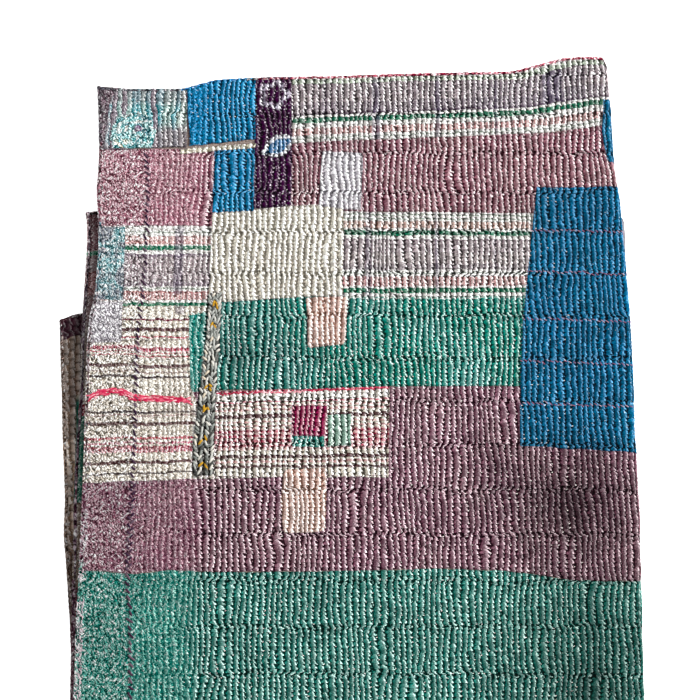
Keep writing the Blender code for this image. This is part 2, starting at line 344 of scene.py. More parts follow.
@dataclass(frozen=True)
class Quilting:
    """The relief that rows of running stitch leave.

    Leaning ribs run from hem to hem, are drawn in at each row, and jog where one block of rows
    meets the next. Beside the side hem the cloth is flatter, in two steps.
    """

    pitch: float = 7.3 * MM
    fine_pitch: float = 6.6 * MM
    row: float = 4.9 * MM
    block: float = 51.5 * MM
    first_row: float = -12.0 * MM
    relief: float = 1.8 * MM
    plain_relief: float = 1.2 * MM
    plain_width: float = 50.0 * MM
    half_width: float = 112.0 * MM
    plain_fade: float = 30.0 * MM
    left: float = -302.0 * MM
    knot: float = 30.0 * MM
    strays: tuple[float, float, float] = (0.32, 0.17, 0.16)  # offset, bow and slant, in ribs
    jog_reach: float = 3.4 * MM
    lean: float = 2.0
    seed: int = 11

    def straight_ribs(self, x: Array) -> Array:
        """How many ribs lie between the side hem and page x.

        Args:
            x: Page x.

        Returns:
            1 over the pitch, summed over the way; the pitch is finer beside the side hem.
        """
        places = np.arange(-0.1, 2.8, MM)
        full = ease((places - self.half_width) / self.plain_fade)
        closeness = 1.0 / self.fine_pitch + (1.0 / self.pitch - 1.0 / self.fine_pitch) * full
        return np.interp(x - self.left, places, np.cumsum(closeness) * MM)

    def in_block(self, x: Array, y: Array) -> Array:
        """Which block of rows page points are in, as a number that is whole where two meet."""
        drift = SoftNoise(43, 34.0 * MM).at(x, y) * 2.8 * MM
        return (y - self.first_row + drift) / self.block + 30.0

    def stray(self, x: Array, y: Array) -> Array:
        """How far the ribs have strayed, in ribs.

        Args:
            x, y: Page places.

        Returns:
            For each block of rows and each knot across it, a random offset, bow and slant, eased
            from knot to knot and block to block, plus two finer noises, stronger at a jog.
        """
        table = np.random.default_rng(self.seed).normal(0.0, 1.0, (3, 60, 160))
        table = table * np.array(self.strays)[:, None, None]
        place = self.in_block(x, y)
        block = np.floor(place).astype(int)
        up = place - block
        across = (x - self.left) / self.knot + 8.0
        knot = np.floor(across).astype(int) % 159
        share = ease(across - np.floor(across))

        def strayed(number: Array, height: Array | float) -> Array:
            """The stray in one block at a share of its height."""
            offset, bow, slant = table[:, number, knot] * (1 - share) + table[:, number, knot + 1] * share
            return offset + bow * np.sin(math.pi * height) + slant * (2.0 * height - 1.0)

        below = strayed(block - 1, 1.0)
        value = below + (strayed(block, up) - below) * ease(up / 0.09)
        rough = 1.0 + 0.9 * (1.0 - self.fullness(x)) + 0.8 * self.near_jog(x, y)
        value = value + SoftNoise(44, 9.0 * MM).at(x, y) * 0.12 * rough
        return value + SoftNoise(45, 3.4 * MM).at(x, y) * 0.06 * rough

    def near_jog(self, x: Array, y: Array) -> Array:
        """1 where two blocks of rows meet, falling to 0 within a row."""
        place = self.in_block(x, y) - 0.045
        return np.exp(-(((place - np.round(place)) * self.block / self.jog_reach) ** 2))

    def ribs(self, x: Array, y: Array) -> Array:
        """The rib's number at page points, whole in each valley."""
        return self.straight_ribs(x) + self.stray(x, y)

    def rows(self, x: Array, y: Array) -> Array:
        """The stitch row's number at page points, whole on a row."""
        return (y - self.first_row) / self.row + 0.25 * SoftNoise(46, 15.0 * MM).at(x, y)

    def fullness(self, x: Array) -> Array:
        """How fully the cloth is ribbed.

        Args:
            x: Page x.

        Returns:
            0 beside the side hem, where the ribs are flat, 0.55 past that, and 1 on the rest.
        """
        place = x - self.left
        first = ease((place - self.plain_width) / self.plain_fade)
        return 0.55 * first + 0.45 * ease((place - self.half_width) / self.plain_fade)

    def crest(self, ribs: Array, rows: Array, x: Array, y: Array, pinch: float = 0.32) -> Array:
        """How high on its rib each page point is, from 0 in a valley to 1 on a crest.

        Args:
            ribs: The rib's number.
            rows: The stitch row's number.
            x, y: Page places.
            pinch: The share of a crest's height that a stitch row takes.

        Returns:
            sin(pi part^lean)^0.85, part being how far across its rib the point is, lowered at
            each row and where two blocks meet, and crumpled beside the side hem.
        """
        part = ribs - np.floor(ribs)
        main = np.sin(math.pi * part**self.lean) ** 0.85
        at_row = (0.5 + 0.5 * np.cos(2 * math.pi * rows)) ** 2
        main = main * (1.0 - pinch * at_row) * (1.0 - 0.25 * self.near_jog(x, y))
        crumple = SoftNoise(31, 3.6 * MM).at(x + 0.5 * y, y) * 0.5 + 0.5
        plain = 0.7 * (1.0 - self.fullness(x))
        return main * (1.0 - plain) + crumple * plain

    def depth(self, x: Array) -> Array:
        """The relief at page x: shallow beside the side hem."""
        return self.plain_relief + (self.relief - self.plain_relief) * self.fullness(x)

    def swell(self, x: Array, y: Array) -> Array:
        """Broad unevenness of the cloth, from two sizes of soft noise."""
        broad = SoftNoise(41, 52.0 * MM).at(x, y) * 0.5
        return (broad + SoftNoise(42, 19.0 * MM).at(x, y) * 0.3) * MM


def add_surface(
    name: str, points: Array, uv: Array, values: dict[str, Array], finish: Cotton,
    keep: Array | None = None, flip: bool = False,
) -> bpy.types.Object:
    """A grid of points as one smooth object.

    Args:
        name: The piece's name.
        points: Points of shape (rows, columns, 3).
        uv: The piece's own map, of shape (rows, columns, 2), in metres.
        values: A number for each point, by attribute name.
        finish: What it is made of.
        keep: Which quads are kept, of shape (rows - 1, columns - 1).
        flip: Whether the faces are turned over.

    Returns:
        The new object. Each quad joins a point, the next in its row and the two above them.
    """
    rows, columns = points.shape[:2]
    corner = np.arange(rows - 1)[:, None] * columns + np.arange(columns - 1)
    corner = corner[keep] if keep is not None else corner.reshape(-1)
    quads = np.stack([corner, corner + 1, corner + columns + 1, corner + columns], axis=1)
    quads = quads[:, ::-1] if flip else quads
    return add_mesh(name, points.reshape(-1, 3), quads, uv.reshape(-1, 2), values, finish)


def add_mesh(
    name: str, points: Array, quads: Array, uv: Array, values: dict[str, Array],
    finish: Cotton | Thread | None = None,
) -> bpy.types.Object:
    """Points and quads as one smooth object, without the points that no quad uses.

    Args:
        name: The piece's name.
        points: Points of shape (n, 3).
        quads: Point numbers of shape (m, 4).
        uv: The piece's own map, one row for each point.
        values: A number for each point, by attribute name.
        finish: What it is made of, if anything yet.

    Returns:
        The new object, with its map named "cloth".
    """
    used, index = np.unique(quads, return_inverse=True)
    quads = index.reshape(-1, 4)
    mesh = bpy.data.meshes.new(name)
    mesh.vertices.add(len(used))
    mesh.vertices.foreach_set("co", points[used].astype(np.float32).reshape(-1))
    mesh.loops.add(quads.size)
    mesh.loops.foreach_set("vertex_index", quads.astype(np.int32).reshape(-1))
    mesh.polygons.add(len(quads))
    mesh.polygons.foreach_set("loop_start", np.arange(0, quads.size, 4, dtype=np.int32))
    mesh.update(calc_edges=True)
    layer = mesh.uv_layers.new(name="cloth")
    layer.data.foreach_set("uv", uv[used][quads.reshape(-1)].astype(np.float32).reshape(-1))
    for key, number in values.items():
        attribute = mesh.attributes.new(key, "FLOAT", "POINT")
        attribute.data.foreach_set("value", number.reshape(-1)[used].astype(np.float32))
    mesh.shade_smooth()
    if finish is not None:
        mesh.materials.append(material_of(finish))
    piece = bpy.data.objects.new(name, mesh)
    bpy.context.scene.collection.objects.link(piece)
    return piece


# -------- finishes


def math_step(operation: str, reflected: bool = False) -> Callable[..., Wire]:
    """A method of Wire that adds one Math node.

    Args:
        operation: The Math node's operation.
        reflected: Whether the other number comes first.

    Returns:
        The method, over the wire itself and any other wire or number.
    """

    def step(wire: Wire, *others: Wire | float) -> Wire:
        """One Math node."""
        return wire.finish.math(operation, *((*others, wire) if reflected else (wire, *others)))

    return step


class Wire:
    """A shader socket that can be used in sums: each operator adds its Math node."""

    def __init__(self, finish: Nodes, socket: bpy.types.NodeSocket) -> None:
        """Wraps one output socket of a finish."""
        self.finish = finish
        self.socket = socket

    __add__ = __radd__ = math_step("ADD")
    __sub__ = math_step("SUBTRACT")
    __rsub__ = math_step("SUBTRACT", reflected=True)
    __mul__ = __rmul__ = math_step("MULTIPLY")
    __truediv__ = math_step("DIVIDE")
    __pow__ = math_step("POWER")
    __gt__ = math_step("GREATER_THAN")
    __lt__ = math_step("LESS_THAN")
    __abs__ = math_step("ABSOLUTE")
    sine = math_step("SINE")  # of self in radians, as the cosine
    cosine = math_step("COSINE")
    floor = math_step("FLOOR")
    fraction = math_step("FRACT")
    root = math_step("SQRT")
    turn_of = math_step("ARCTAN2")  # the direction of self up and other across, in radians
    least = math_step("MINIMUM")
    most = math_step("MAXIMUM")

    def slanted(self, other: Wire) -> Wire:
        """The length of the slanted line whose two legs are self and other."""
        return (self * self + other * other).root()

    def clamp(self) -> Wire:
        """self kept from 0 to 1."""
        return self.most(0.0).least(1.0)

    def past(self, start: float, steep: float) -> Wire:
        """0 up to the start, then steep times the way past it, up to 1."""
        return ((self - start) * steep).clamp()

    def below(self, end: float, steep: float) -> Wire:
        """0 from the end on, and steep times the way below it, up to 1."""
        return ((end - self) * steep).clamp()

    def within(self, low: float, high: float, soft: float) -> Wire:
        """1 between two numbers, falling to 0 over a soft edge."""
        rise = ((self - (low - soft)) / (2 * soft)).clamp()
        return rise * (((high + soft) - self) / (2 * soft)).clamp()


class Nodes:
    """A material's node tree, with one method for each kind of step."""

    def __init__(self, name: str, roughness: float) -> None:
        """Starts a material with its shader and the piece's own map, in metres.

        Args:
            name: The material's name.
            roughness: The shader's roughness.
        """
        self.material = bpy.data.materials.new(name)
        self.material.use_nodes = True
        self.tree = self.material.node_tree
        self.shader = self.tree.nodes["Principled BSDF"]
        self.shader.inputs["Roughness"].default_value = roughness
        self.shader.inputs["Specular IOR Level"].default_value = 0.03
        self.vector = self.node("ShaderNodeUVMap", {"uv_map": "cloth"}, {}).outputs[0]
        split = self.node("ShaderNodeSeparateXYZ", {}, {0: self.vector})
        self.u, self.v = Wire(self, split.outputs[0]), Wire(self, split.outputs[1])

    def node(self, kind: str, settings: dict[str, Any], inputs: dict[str | int, Any]) -> Any:
        """Adds a node.

        Args:
            kind: The node's type.
            settings: Its own settings, set first; "stops" and "interpolation" are a ramp's.
            inputs: A value, socket or Wire for each input; a Vector of None is the piece's map.

        Returns:
            The node.
        """
        made = self.tree.nodes.new(kind)
        for key, value in settings.items():
            if key == "stops":
                ramp = made.color_ramp
                while len(ramp.elements) < len(value):
                    ramp.elements.new(0.5)
                for element, (at, colour) in zip(ramp.elements, value):
                    element.position = at
                    element.color = (*colour, 1.0)
            elif key == "interpolation":
                made.color_ramp.interpolation = value
            else:
                setattr(made, key, value)
        for key, value in inputs.items():
            target = made.inputs[key]
            value = self.vector if key == "Vector" and value is None else value
            if isinstance(value, Wire):
                self.tree.links.new(value.socket, target)
            elif isinstance(value, bpy.types.NodeSocket):
                self.tree.links.new(value, target)
            elif isinstance(value, tuple) and target.type == "RGBA":
                target.default_value = (*value, 1.0)
            else:
                target.default_value = value
        return made

    def math(self, operation: str, *numbers: Wire | float) -> Wire:
        """A Math node over wires and numbers."""
        made = self.node("ShaderNodeMath", {"operation": operation}, dict(enumerate(numbers)))
        return Wire(self, made.outputs[0])

    def mix(self, share: Wire | float, first: Any, second: Any, blend: str = "MIX") -> Any:
        """Two colours mixed by a share, as a colour socket."""
        settings = {"data_type": "RGBA", "blend_type": blend, "clamp_factor": True, "clamp_result": True}
        return self.node("ShaderNodeMix", settings, {0: share, 6: first, 7: second}).outputs[2]

    def ramp(self, share: Wire, stops: tuple, interpolation: str = "CONSTANT") -> Any:
        """Colours along a number from 0 to 1, each up to the next stop unless interpolated."""
        settings = {"interpolation": interpolation, "stops": stops}
        return self.node("ShaderNodeValToRGB", settings, {"Fac": share}).outputs["Color"]

    def attribute(self, name: str) -> Wire:
        """One of the piece's own numbers."""
        return Wire(self, self.node("ShaderNodeAttribute", {"attribute_name": name}, {}).outputs["Fac"])

    def noise(self, scale: float, detail: float = 2.0, twist: float = 0.0, vector: Any = None) -> Wire:
        """Soft noise from 0 to 1, on the piece's map unless another vector is given."""
        inputs = {"Vector": vector, "Scale": scale, "Detail": detail, "Distortion": twist}
        return Wire(self, self.node("ShaderNodeTexNoise", {}, inputs).outputs["Fac"])

    def stretched(self, x: float, y: float, turn: float = 0.0) -> Any:
        """The map, turned and then scaled by x and y."""
        inputs = {"Vector": self.vector, "Scale": (1.0 / x, 1.0 / y, 1.0), "Rotation": (0, 0, turn)}
        return self.node("ShaderNodeMapping", {"vector_type": "TEXTURE"}, inputs).outputs[0]

    def streaks(self, x: float, y: float, turn: float = 0.0, detail: float = 1.0) -> Wire:
        """Soft noise with x lumps to the metre one way and y the other, turned."""
        return self.noise(1.0, detail, vector=self.stretched(x, y, turn))

    def dice(self, number: Wire) -> Wire:
        """A random number from 0 to 1 for each whole number."""
        made = self.node("ShaderNodeTexWhiteNoise", {"noise_dimensions": "1D"}, {"W": number})
        return Wire(self, made.outputs["Value"])

    def cells(self, scale: float, vector: Any = None) -> tuple[Wire, Wire]:
        """Scattered cells.

        Args:
            scale: How many cells lie in a unit of the vector.
            vector: Where they lie, else the piece's map.

        Returns:
            The distance from each cell's middle, and a random number for each.
        """
        made = self.node("ShaderNodeTexVoronoi", {}, {"Vector": vector, "Scale": scale})
        split = self.node("ShaderNodeSeparateColor", {}, {0: made.outputs["Color"]})
        return Wire(self, made.outputs["Distance"]), Wire(self, split.outputs[0])

    def dress(self, colour: Any, height: Wire, strength: float, unit: float) -> bpy.types.Material:
        """Gives the shader its colour and its bump.

        Args:
            colour: The colour socket.
            height: The height of the bump.
            strength: How strong the bump is.
            unit: The length that a height of 1 stands for.

        Returns:
            The finished material.
        """
        bump = self.node("ShaderNodeBump", {}, {"Strength": strength, "Distance": unit, "Height": height})
        self.tree.links.new(colour, self.shader.inputs["Base Color"])
        self.tree.links.new(bump.outputs[0], self.shader.inputs["Normal"])
        return self.material


def lines_on(ground: Colour, *lines: tuple[float, float, Colour]) -> tuple[tuple[float, Colour], ...]:
    """The stops of a striped cloth.

    Args:
        ground: The colour between the lines.
        lines: Each line's start and end, as shares from the top, and its colour.

    Returns:
        A share and a colour for each change.
    """
    stops, end = [], 0.0
    for start, stop, colour in lines:
        stops += [(end, ground)] if start > end else []
        stops.append((start, colour))
        end = stop
    return tuple(stops + ([(end, ground)] if end < 1.0 else []))


@dataclass(frozen=True)
class Cotton:
    """Plain dyed cotton, with a painted highlight on the ribs and painted shade between them.

    Its piece's numbers: "rib" and "row" count ribs and stitch rows, "jog" is 1 where two blocks of
    rows meet, "edge" paints shade where the cloth turns under or folds, "left" where it lies flat,
    "shade" is its painted light and shade.
    """

    name: str
    colour: Colour
    faded: Colour
    fade: float = 0.4  # how far faded places take that colour
    valley: float = 0.03  # the light left in a valley
    line: float = 2.0  # brightness of the painted highlight along a crest
    bead: float = 0.3  # how far a valley's painted shade widens towards a stitch row
    pale: float = 0.40  # how washed out that painted highlight is
    flecks: float = 0.05  # share of cells with a fleck of thread
    fleck_colour: Colour = (0.75, 0.72, 0.70)
    left_flecks: float = 0.0  # more where the cloth lies flat
    fade_scale: float = 16.0  # faded places to the metre
    grain: float = 1.25  # how strongly single threads show
    painted_shade_richness: float = 0.8  # how much richer the colour is in painted shade
    relief: float = 0.9  # height of a rib in the bump
    lean: float = 2.0  # how far a crest leans to one side
    roughness: float = 0.93

    def ground(self, nodes: Nodes, v: Wire) -> Any:
        """The dyed colour, fading softly from place to place.

        Args:
            nodes: The material.
            v: The map's second number, shifted by rib; not used here.

        Returns:
            A colour socket.
        """
        share = nodes.noise(self.fade_scale, 3.0, 0.4).past(0.42, 3.4)
        return nodes.mix(share * self.fade, self.colour, self.faded)

    def make(self) -> bpy.types.Material:
        """The finish as a material: ground, grain, flecks of thread, painted light and shade on the ribs,
        and weave.

        Returns:
            The material. A rib has painted shade in its valley, wider at a stitch row, is painted lighter
            up its side towards the rim, and has a painted highlight along its crest, broken by the rows.
            Flat cloth has painted shade in fine creases, faint rows and short painted highlights instead.
            Very bright places are held back by dividing the light.
        """
        nodes = Nodes(self.name, self.roughness)
        left, edge, jog = (nodes.attribute(name) for name in ("left", "edge", "jog"))
        # Single threads, the straying of the valleys, and wear that comes and goes along a rib
        fibre = (nodes.streaks(640.0, 1050.0) - 0.5) * 2.6
        stray = nodes.noise(330.0) - 0.5
        wander = nodes.streaks(150.0, 60.0, detail=3.0)
        # The rib and row of each place, and a number for each bead of cloth between two rows
        first = nodes.attribute("rib")
        number = first.floor()
        row = nodes.attribute("row") + (nodes.dice(number) - 0.5) * 0.5 + (wander - 0.5) * 0.5
        bead = nodes.dice(number * 57.0 + row.floor()) - 0.5
        step = row.fraction()
        rib = first + stray * (0.46 + left * 0.5 + jog * 1.1) + bead * 0.20 + (step - 0.5) * 0.13
        part = rib.fraction()
        # A rib's painted light: its body, from the painted shade of its first valley to its rim, lighter up
        # the side towards the rim, and the painted highlight beside the rim
        rim = 0.94 - step * 0.20
        tooth = step * step * (1.0 + bead * 1.4) * self.bead + fibre * 0.06 + jog * 0.22
        inside = ((part - 0.03 - tooth) / 0.15).clamp() * ((rim + 0.04 - part) / 0.06).clamp()
        slope = ((part - 0.12) / 0.62).clamp()
        line = (1.0 - abs(part - rim + 0.07) / 0.13).clamp()
        line = line * (wander * 0.8 + bead * 1.4 + fibre * 2.8 + 0.30 - step * 0.9).clamp()
        # The flat, crumpled cloth: painted shade in fine creases, faint stitch rows and short painted
        # highlights
        dash = nodes.streaks(470.0, 190.0, -0.8)
        crack = abs(nodes.streaks(310.0, 170.0, 0.7) - 0.5)
        flat = crack.past(0.019, 16.0) * 0.96 + 0.04
        flat = flat * (1.0 + (nodes.v * 706.0 + wander * 3.0).sine() * 0.2)
        flat = flat * (1.0 + dash.past(0.54, 8.0) * 1.2 - dash.below(0.44, 8.0) * 0.85)
        # All painted light together: body, painted highlight, thread by thread, bead by bead, and painted
        # shade at a turned edge or fold
        body = inside * (0.68 + slope * slope * 0.92) * (1.0 - left) + flat * left * 1.26
        line = line * (1.0 - left * 0.62).clamp()
        painted_light_and_grain = self.valley + (1.0 - self.valley) * body + line * self.line
        painted_light_and_grain = painted_light_and_grain * ((1.0 + fibre * self.grain) * (1.0 + bead * (1.0 - left) * 0.8))
        painted_light_and_grain = painted_light_and_grain * (1.0 - edge * 0.38)
        painted_light_and_grain = painted_light_and_grain * 1.28 / (1.0 + painted_light_and_grain * 0.22)
        # The colours: print or dye, washed out on the painted highlight, times the painted light and shade,
        # richer in painted shade
        ground = self.ground(nodes, nodes.v + ((slope - 0.5) * (0.9 * MM) + bead * (1.1 * MM)))
        ground = nodes.mix(line * self.pale, ground, self.fleck_colour)
        colour = nodes.mix(1.0, ground, painted_light_and_grain * nodes.attribute("shade"), "MULTIPLY")
        inputs = {"Saturation": 1.0 + self.painted_shade_richness - body * self.painted_shade_richness, "Color": colour}
        rich = nodes.node("ShaderNodeHueSaturation", {}, inputs).outputs["Color"]
        away, chance = nodes.cells(470.0, nodes.stretched(1.0, 1.35))
        density = (left * self.left_flecks + self.flecks) * (1.4 - step)
        fleck = (chance < density) * (0.36 - away).clamp() * 6.0
        colour = nodes.mix((fleck * (0.3 + body * 0.6)).clamp(), rich, self.fleck_colour)
        # The bump: leaning crests drawn in at the rows, threads, beads, creases and flecks
        tall = (part**self.lean * math.pi).sine() * (1.0 - step * 0.4) * (1.0 - left * 0.6)
        tall = tall * self.relief + fibre * 0.8 + bead * (1.0 - left) * 0.5 + stray * 1.5
        tall = tall + (crack * 6.0 + dash) * left + fleck * 0.2
        nodes.shader.inputs["Sheen Weight"].default_value = 0.01
        nodes.shader.inputs["Sheen Roughness"].default_value = 0.6
        return nodes.dress(colour, tall, 1.0, MM)


@dataclass(frozen=True)
class StripedCotton(Cotton):
    """Cotton with woven stripes across it and a few bands the other way."""

    height: float = 0.1  # of the map, shared out by the stripes
    stripes: tuple[tuple[float, Colour], ...] = ()
    checks: tuple[tuple[float, float, float], ...] = ()  # from, to, strength
    bands: tuple[tuple[float, float, float, float, float], ...] = ()  # x from, to; from, to; strength
    band_colour: Colour = dye(88, 76, 104)
    step: tuple[float, float] = (0.0, 0.0)  # past this x, the stripes sink by this much
    wobble: float = 0.7 * MM

    def ground(self, nodes: Nodes, v: Wire) -> Any:
        """The stripes from the map's second number, checks in some of them, and the bands.

        Args:
            nodes: The material.
            v: The map's second number, shifted by rib.

        Returns:
            A colour socket. Each band is a soft box in u and v, mixed in by its strength.
        """
        shift = (nodes.noise(70.0) - 0.5) * (4.0 * self.wobble)
        sunk = ((nodes.u - self.step[0]) / (4.0 * MM)).clamp() * (v / self.height) * self.step[1]
        share = 1.0 - (v + shift + sunk) / self.height
        colour = nodes.ramp(share.clamp(), self.stripes)
        lines = (nodes.u * 1700.0).sine() * 0.5 + 0.5
        for low, high, strength in self.checks:
            check = share.within(low, high, 0.004) * lines * strength
            colour = nodes.mix(check, colour, (0.86, 0.83, 0.80))
        for left, right, low, high, strength in self.bands:
            box = nodes.u.within(left * MM, right * MM, 1.2 * MM) * share.within(low, high, 0.01)
            colour = nodes.mix(box * strength, colour, self.band_colour)
        return nodes.mix(nodes.noise(self.fade_scale, 3.0).past(0.42, 3.0) * self.fade, colour, self.faded)


@dataclass(frozen=True)
class BlossomCotton(Cotton):
    """A faded print of one full, crinkled blossom on a striped ground."""

    centre: tuple[float, float] = (0.0, 0.0)
    radius: float = 28.5 * MM
    petals: tuple[tuple[float, Colour], ...] = (
        (0.0, dye(132, 201, 205)), (0.16, dye(94, 148, 156)), (0.24, dye(164, 223, 225)),
        (0.56, dye(197, 238, 236)), (0.80, dye(228, 243, 240)), (0.94, dye(248, 248, 240)),
    )
    ribbed: tuple[tuple[float, Colour], ...] = (
        (0.0, dye(160, 188, 184)), (0.26, dye(110, 166, 174)), (0.5, dye(196, 212, 206)),
        (0.7, dye(134, 126, 136)), (0.84, dye(98, 148, 158)),
    )

    def ground(self, nodes: Nodes, v: Wire) -> Any:
        """The blossom's petals as cells on a polar map, and a ground that changes rib by rib.

        Args:
            nodes: The material.
            v: The map's second number, shifted by rib.

        Returns:
            A colour socket. A petal's colour comes from its cell's random number, and the
            blossom's edge is a radius roughened by noise.
        """
        rough = nodes.noise(110.0, 3.0) - 0.5
        across, up = nodes.u - self.centre[0], v - self.centre[1]
        far = across.slanted(up)
        turn = up.turn_of(across)
        polar = nodes.node("ShaderNodeCombineXYZ", {}, {0: turn * 1.5 + far * 60.0, 1: far * 190.0})
        away, chance = nodes.cells(1.35, polar.outputs[0])
        petals = nodes.ramp(chance, self.petals)
        petals = nodes.mix(away.past(0.40, 3.0) * 0.6, petals, dye(66, 98, 106))
        creamy = (across - up * 0.3).below(-0.001, 300.0) * up.below(-0.006, 300.0) * (chance > 0.45)
        creamy = creamy * far.below(0.026, 300.0)
        petals = nodes.mix(creamy * 0.8, petals, dye(240, 236, 206))
        heart = (1.0 - (across - 0.006).slanted(up - 0.007) / 0.0055).clamp()
        petals = nodes.mix((heart * 3.0).clamp() * 0.8, petals, dye(150, 96, 136))
        striped = nodes.ramp(nodes.dice(nodes.attribute("rib").floor()), self.ribbed)
        low = across.past(0.016, 70.0) * (up - rough * 0.02).below(0.016, 70.0)
        outer = (across - rough * 0.02).below(-0.024, 120.0) + (up + rough * 0.03).past(0.034, 90.0) * 0.6
        striped = nodes.mix((low + outer).clamp() * 0.85, striped, dye(150, 136, 142))
        return nodes.mix((far - rough * 0.016).below(self.radius, 500.0), striped, petals)


@dataclass(frozen=True)
class DottedCotton(Cotton):
    """Dark cotton with small white dots, a white-lined flower and a leaf."""

    flower: tuple[float, float] = (0.0, 0.0)
    leaf: tuple[float, float] = (0.0, 0.0)
    leaf_size: tuple[float, float] = (21.0 * MM, 11.5 * MM)  # half its length and half its width

    def ground(self, nodes: Nodes, v: Wire) -> Any:
        """Dots scattered in cells, and the two motifs.

        Args:
            nodes: The material.
            v: The map's second number, shifted by rib.

        Returns:
            A colour socket. The leaf is where share of half width + (share of half length)^2 is
            less than 1, and the flower is a ring whose radius changes with the turn's cosine.
        """
        rough = (nodes.noise(160.0) - 0.5) * 0.006
        away, chance = nodes.cells(330.0)
        dots = (chance < 0.42) * away.below(0.36, 9.0)
        ground = nodes.mix(nodes.noise(60.0), self.colour, self.faded)
        ground = nodes.mix(dots * 0.85, ground, dye(206, 186, 206))
        across, up = nodes.u - self.leaf[0] + rough, v - self.leaf[1] - rough
        slant = abs(across * 0.90 + up * 0.43) / self.leaf_size[0]
        shape = abs(up * 0.90 - across * 0.43) / self.leaf_size[1] + slant * slant
        ground = nodes.mix(shape.below(1.25, 8.0), ground, dye(222, 222, 230))
        blue = nodes.mix(nodes.noise(190.0), dye(40, 92, 150), dye(120, 160, 196))
        ground = nodes.mix(shape.below(0.80, 9.0), ground, blue)
        across, up = nodes.u - self.flower[0] + rough, v - self.flower[1] + rough
        turn = up.turn_of(across)
        petals = across.slanted(up) / (0.012 + abs((turn * 2.5).cosine()) * 0.007)
        return nodes.mix(petals.within(0.72, 1.06, 0.10) * 0.9, ground, dye(214, 206, 222))


@dataclass(frozen=True)
class MottledCotton(Cotton):
    """A washed-out print whose two colours run into each other, with pale strokes."""

    second: Colour = (0.2, 0.2, 0.2)
    stroke: Colour = (0.8, 0.8, 0.8)
    strokes: float = 0.5  # how strongly the strokes show
    mottle_scale: float = 55.0

    def ground(self, nodes: Nodes, v: Wire) -> Any:
        """Two colours parted by noise, with slanted strokes where two sines of the map peak.

        Args:
            nodes: The material.
            v: The map's second number, shifted by rib.

        Returns:
            A colour socket.
        """
        parted = nodes.noise(self.mottle_scale, 3.0, 0.6)
        colour = nodes.mix(parted.past(0.47, 9.0), self.colour, self.second)
        slant = ((nodes.u + v * 0.8) * 520.0 + parted * 9.0).sine()
        other = ((nodes.u - v * 0.9) * 430.0 + parted * 7.0).sine()
        colour = nodes.mix((slant * other).past(0.30, 3.0) * self.strokes, colour, self.stroke)
        faded = (nodes.noise(self.fade_scale) - 0.35).clamp()
        return nodes.mix(faded * self.fade, colour, self.faded)


@dataclass(frozen=True)
class Thread:
    """Spun cotton thread, each stitch in one of its colours."""

    name: str
    stops: tuple[tuple[float, Colour], ...]
    roughness: float = 0.8
    twists: float = 9000.0  # the twist's radians to the metre

    def make(self) -> bpy.types.Material:
        """The finish as a material: a colour for each stitch, and a fine twist.

        Returns:
            The material. The map's first number picks a colour, the second runs along the thread.
        """
        nodes = Nodes(self.name, self.roughness)
        colour = nodes.ramp(nodes.u, self.stops, "LINEAR")
        return nodes.dress(colour, (nodes.v * self.twists).sine(), 0.4, 0.2 * MM)


@cache
def material_of(finish: Cotton | Thread) -> bpy.types.Material:
    """The finish's material, made the first time it is asked for."""
    return finish.make()


# -------- patchwork


class Edge(Enum):
    """A panel's edge that follows the quilt instead of a table."""

    SIDE_HEM = "side hem"
    ROUND_FOLD = "round the fold"
    END_HEM = "end hem"


Line = tuple[tuple[float, float], ...] | float | Edge


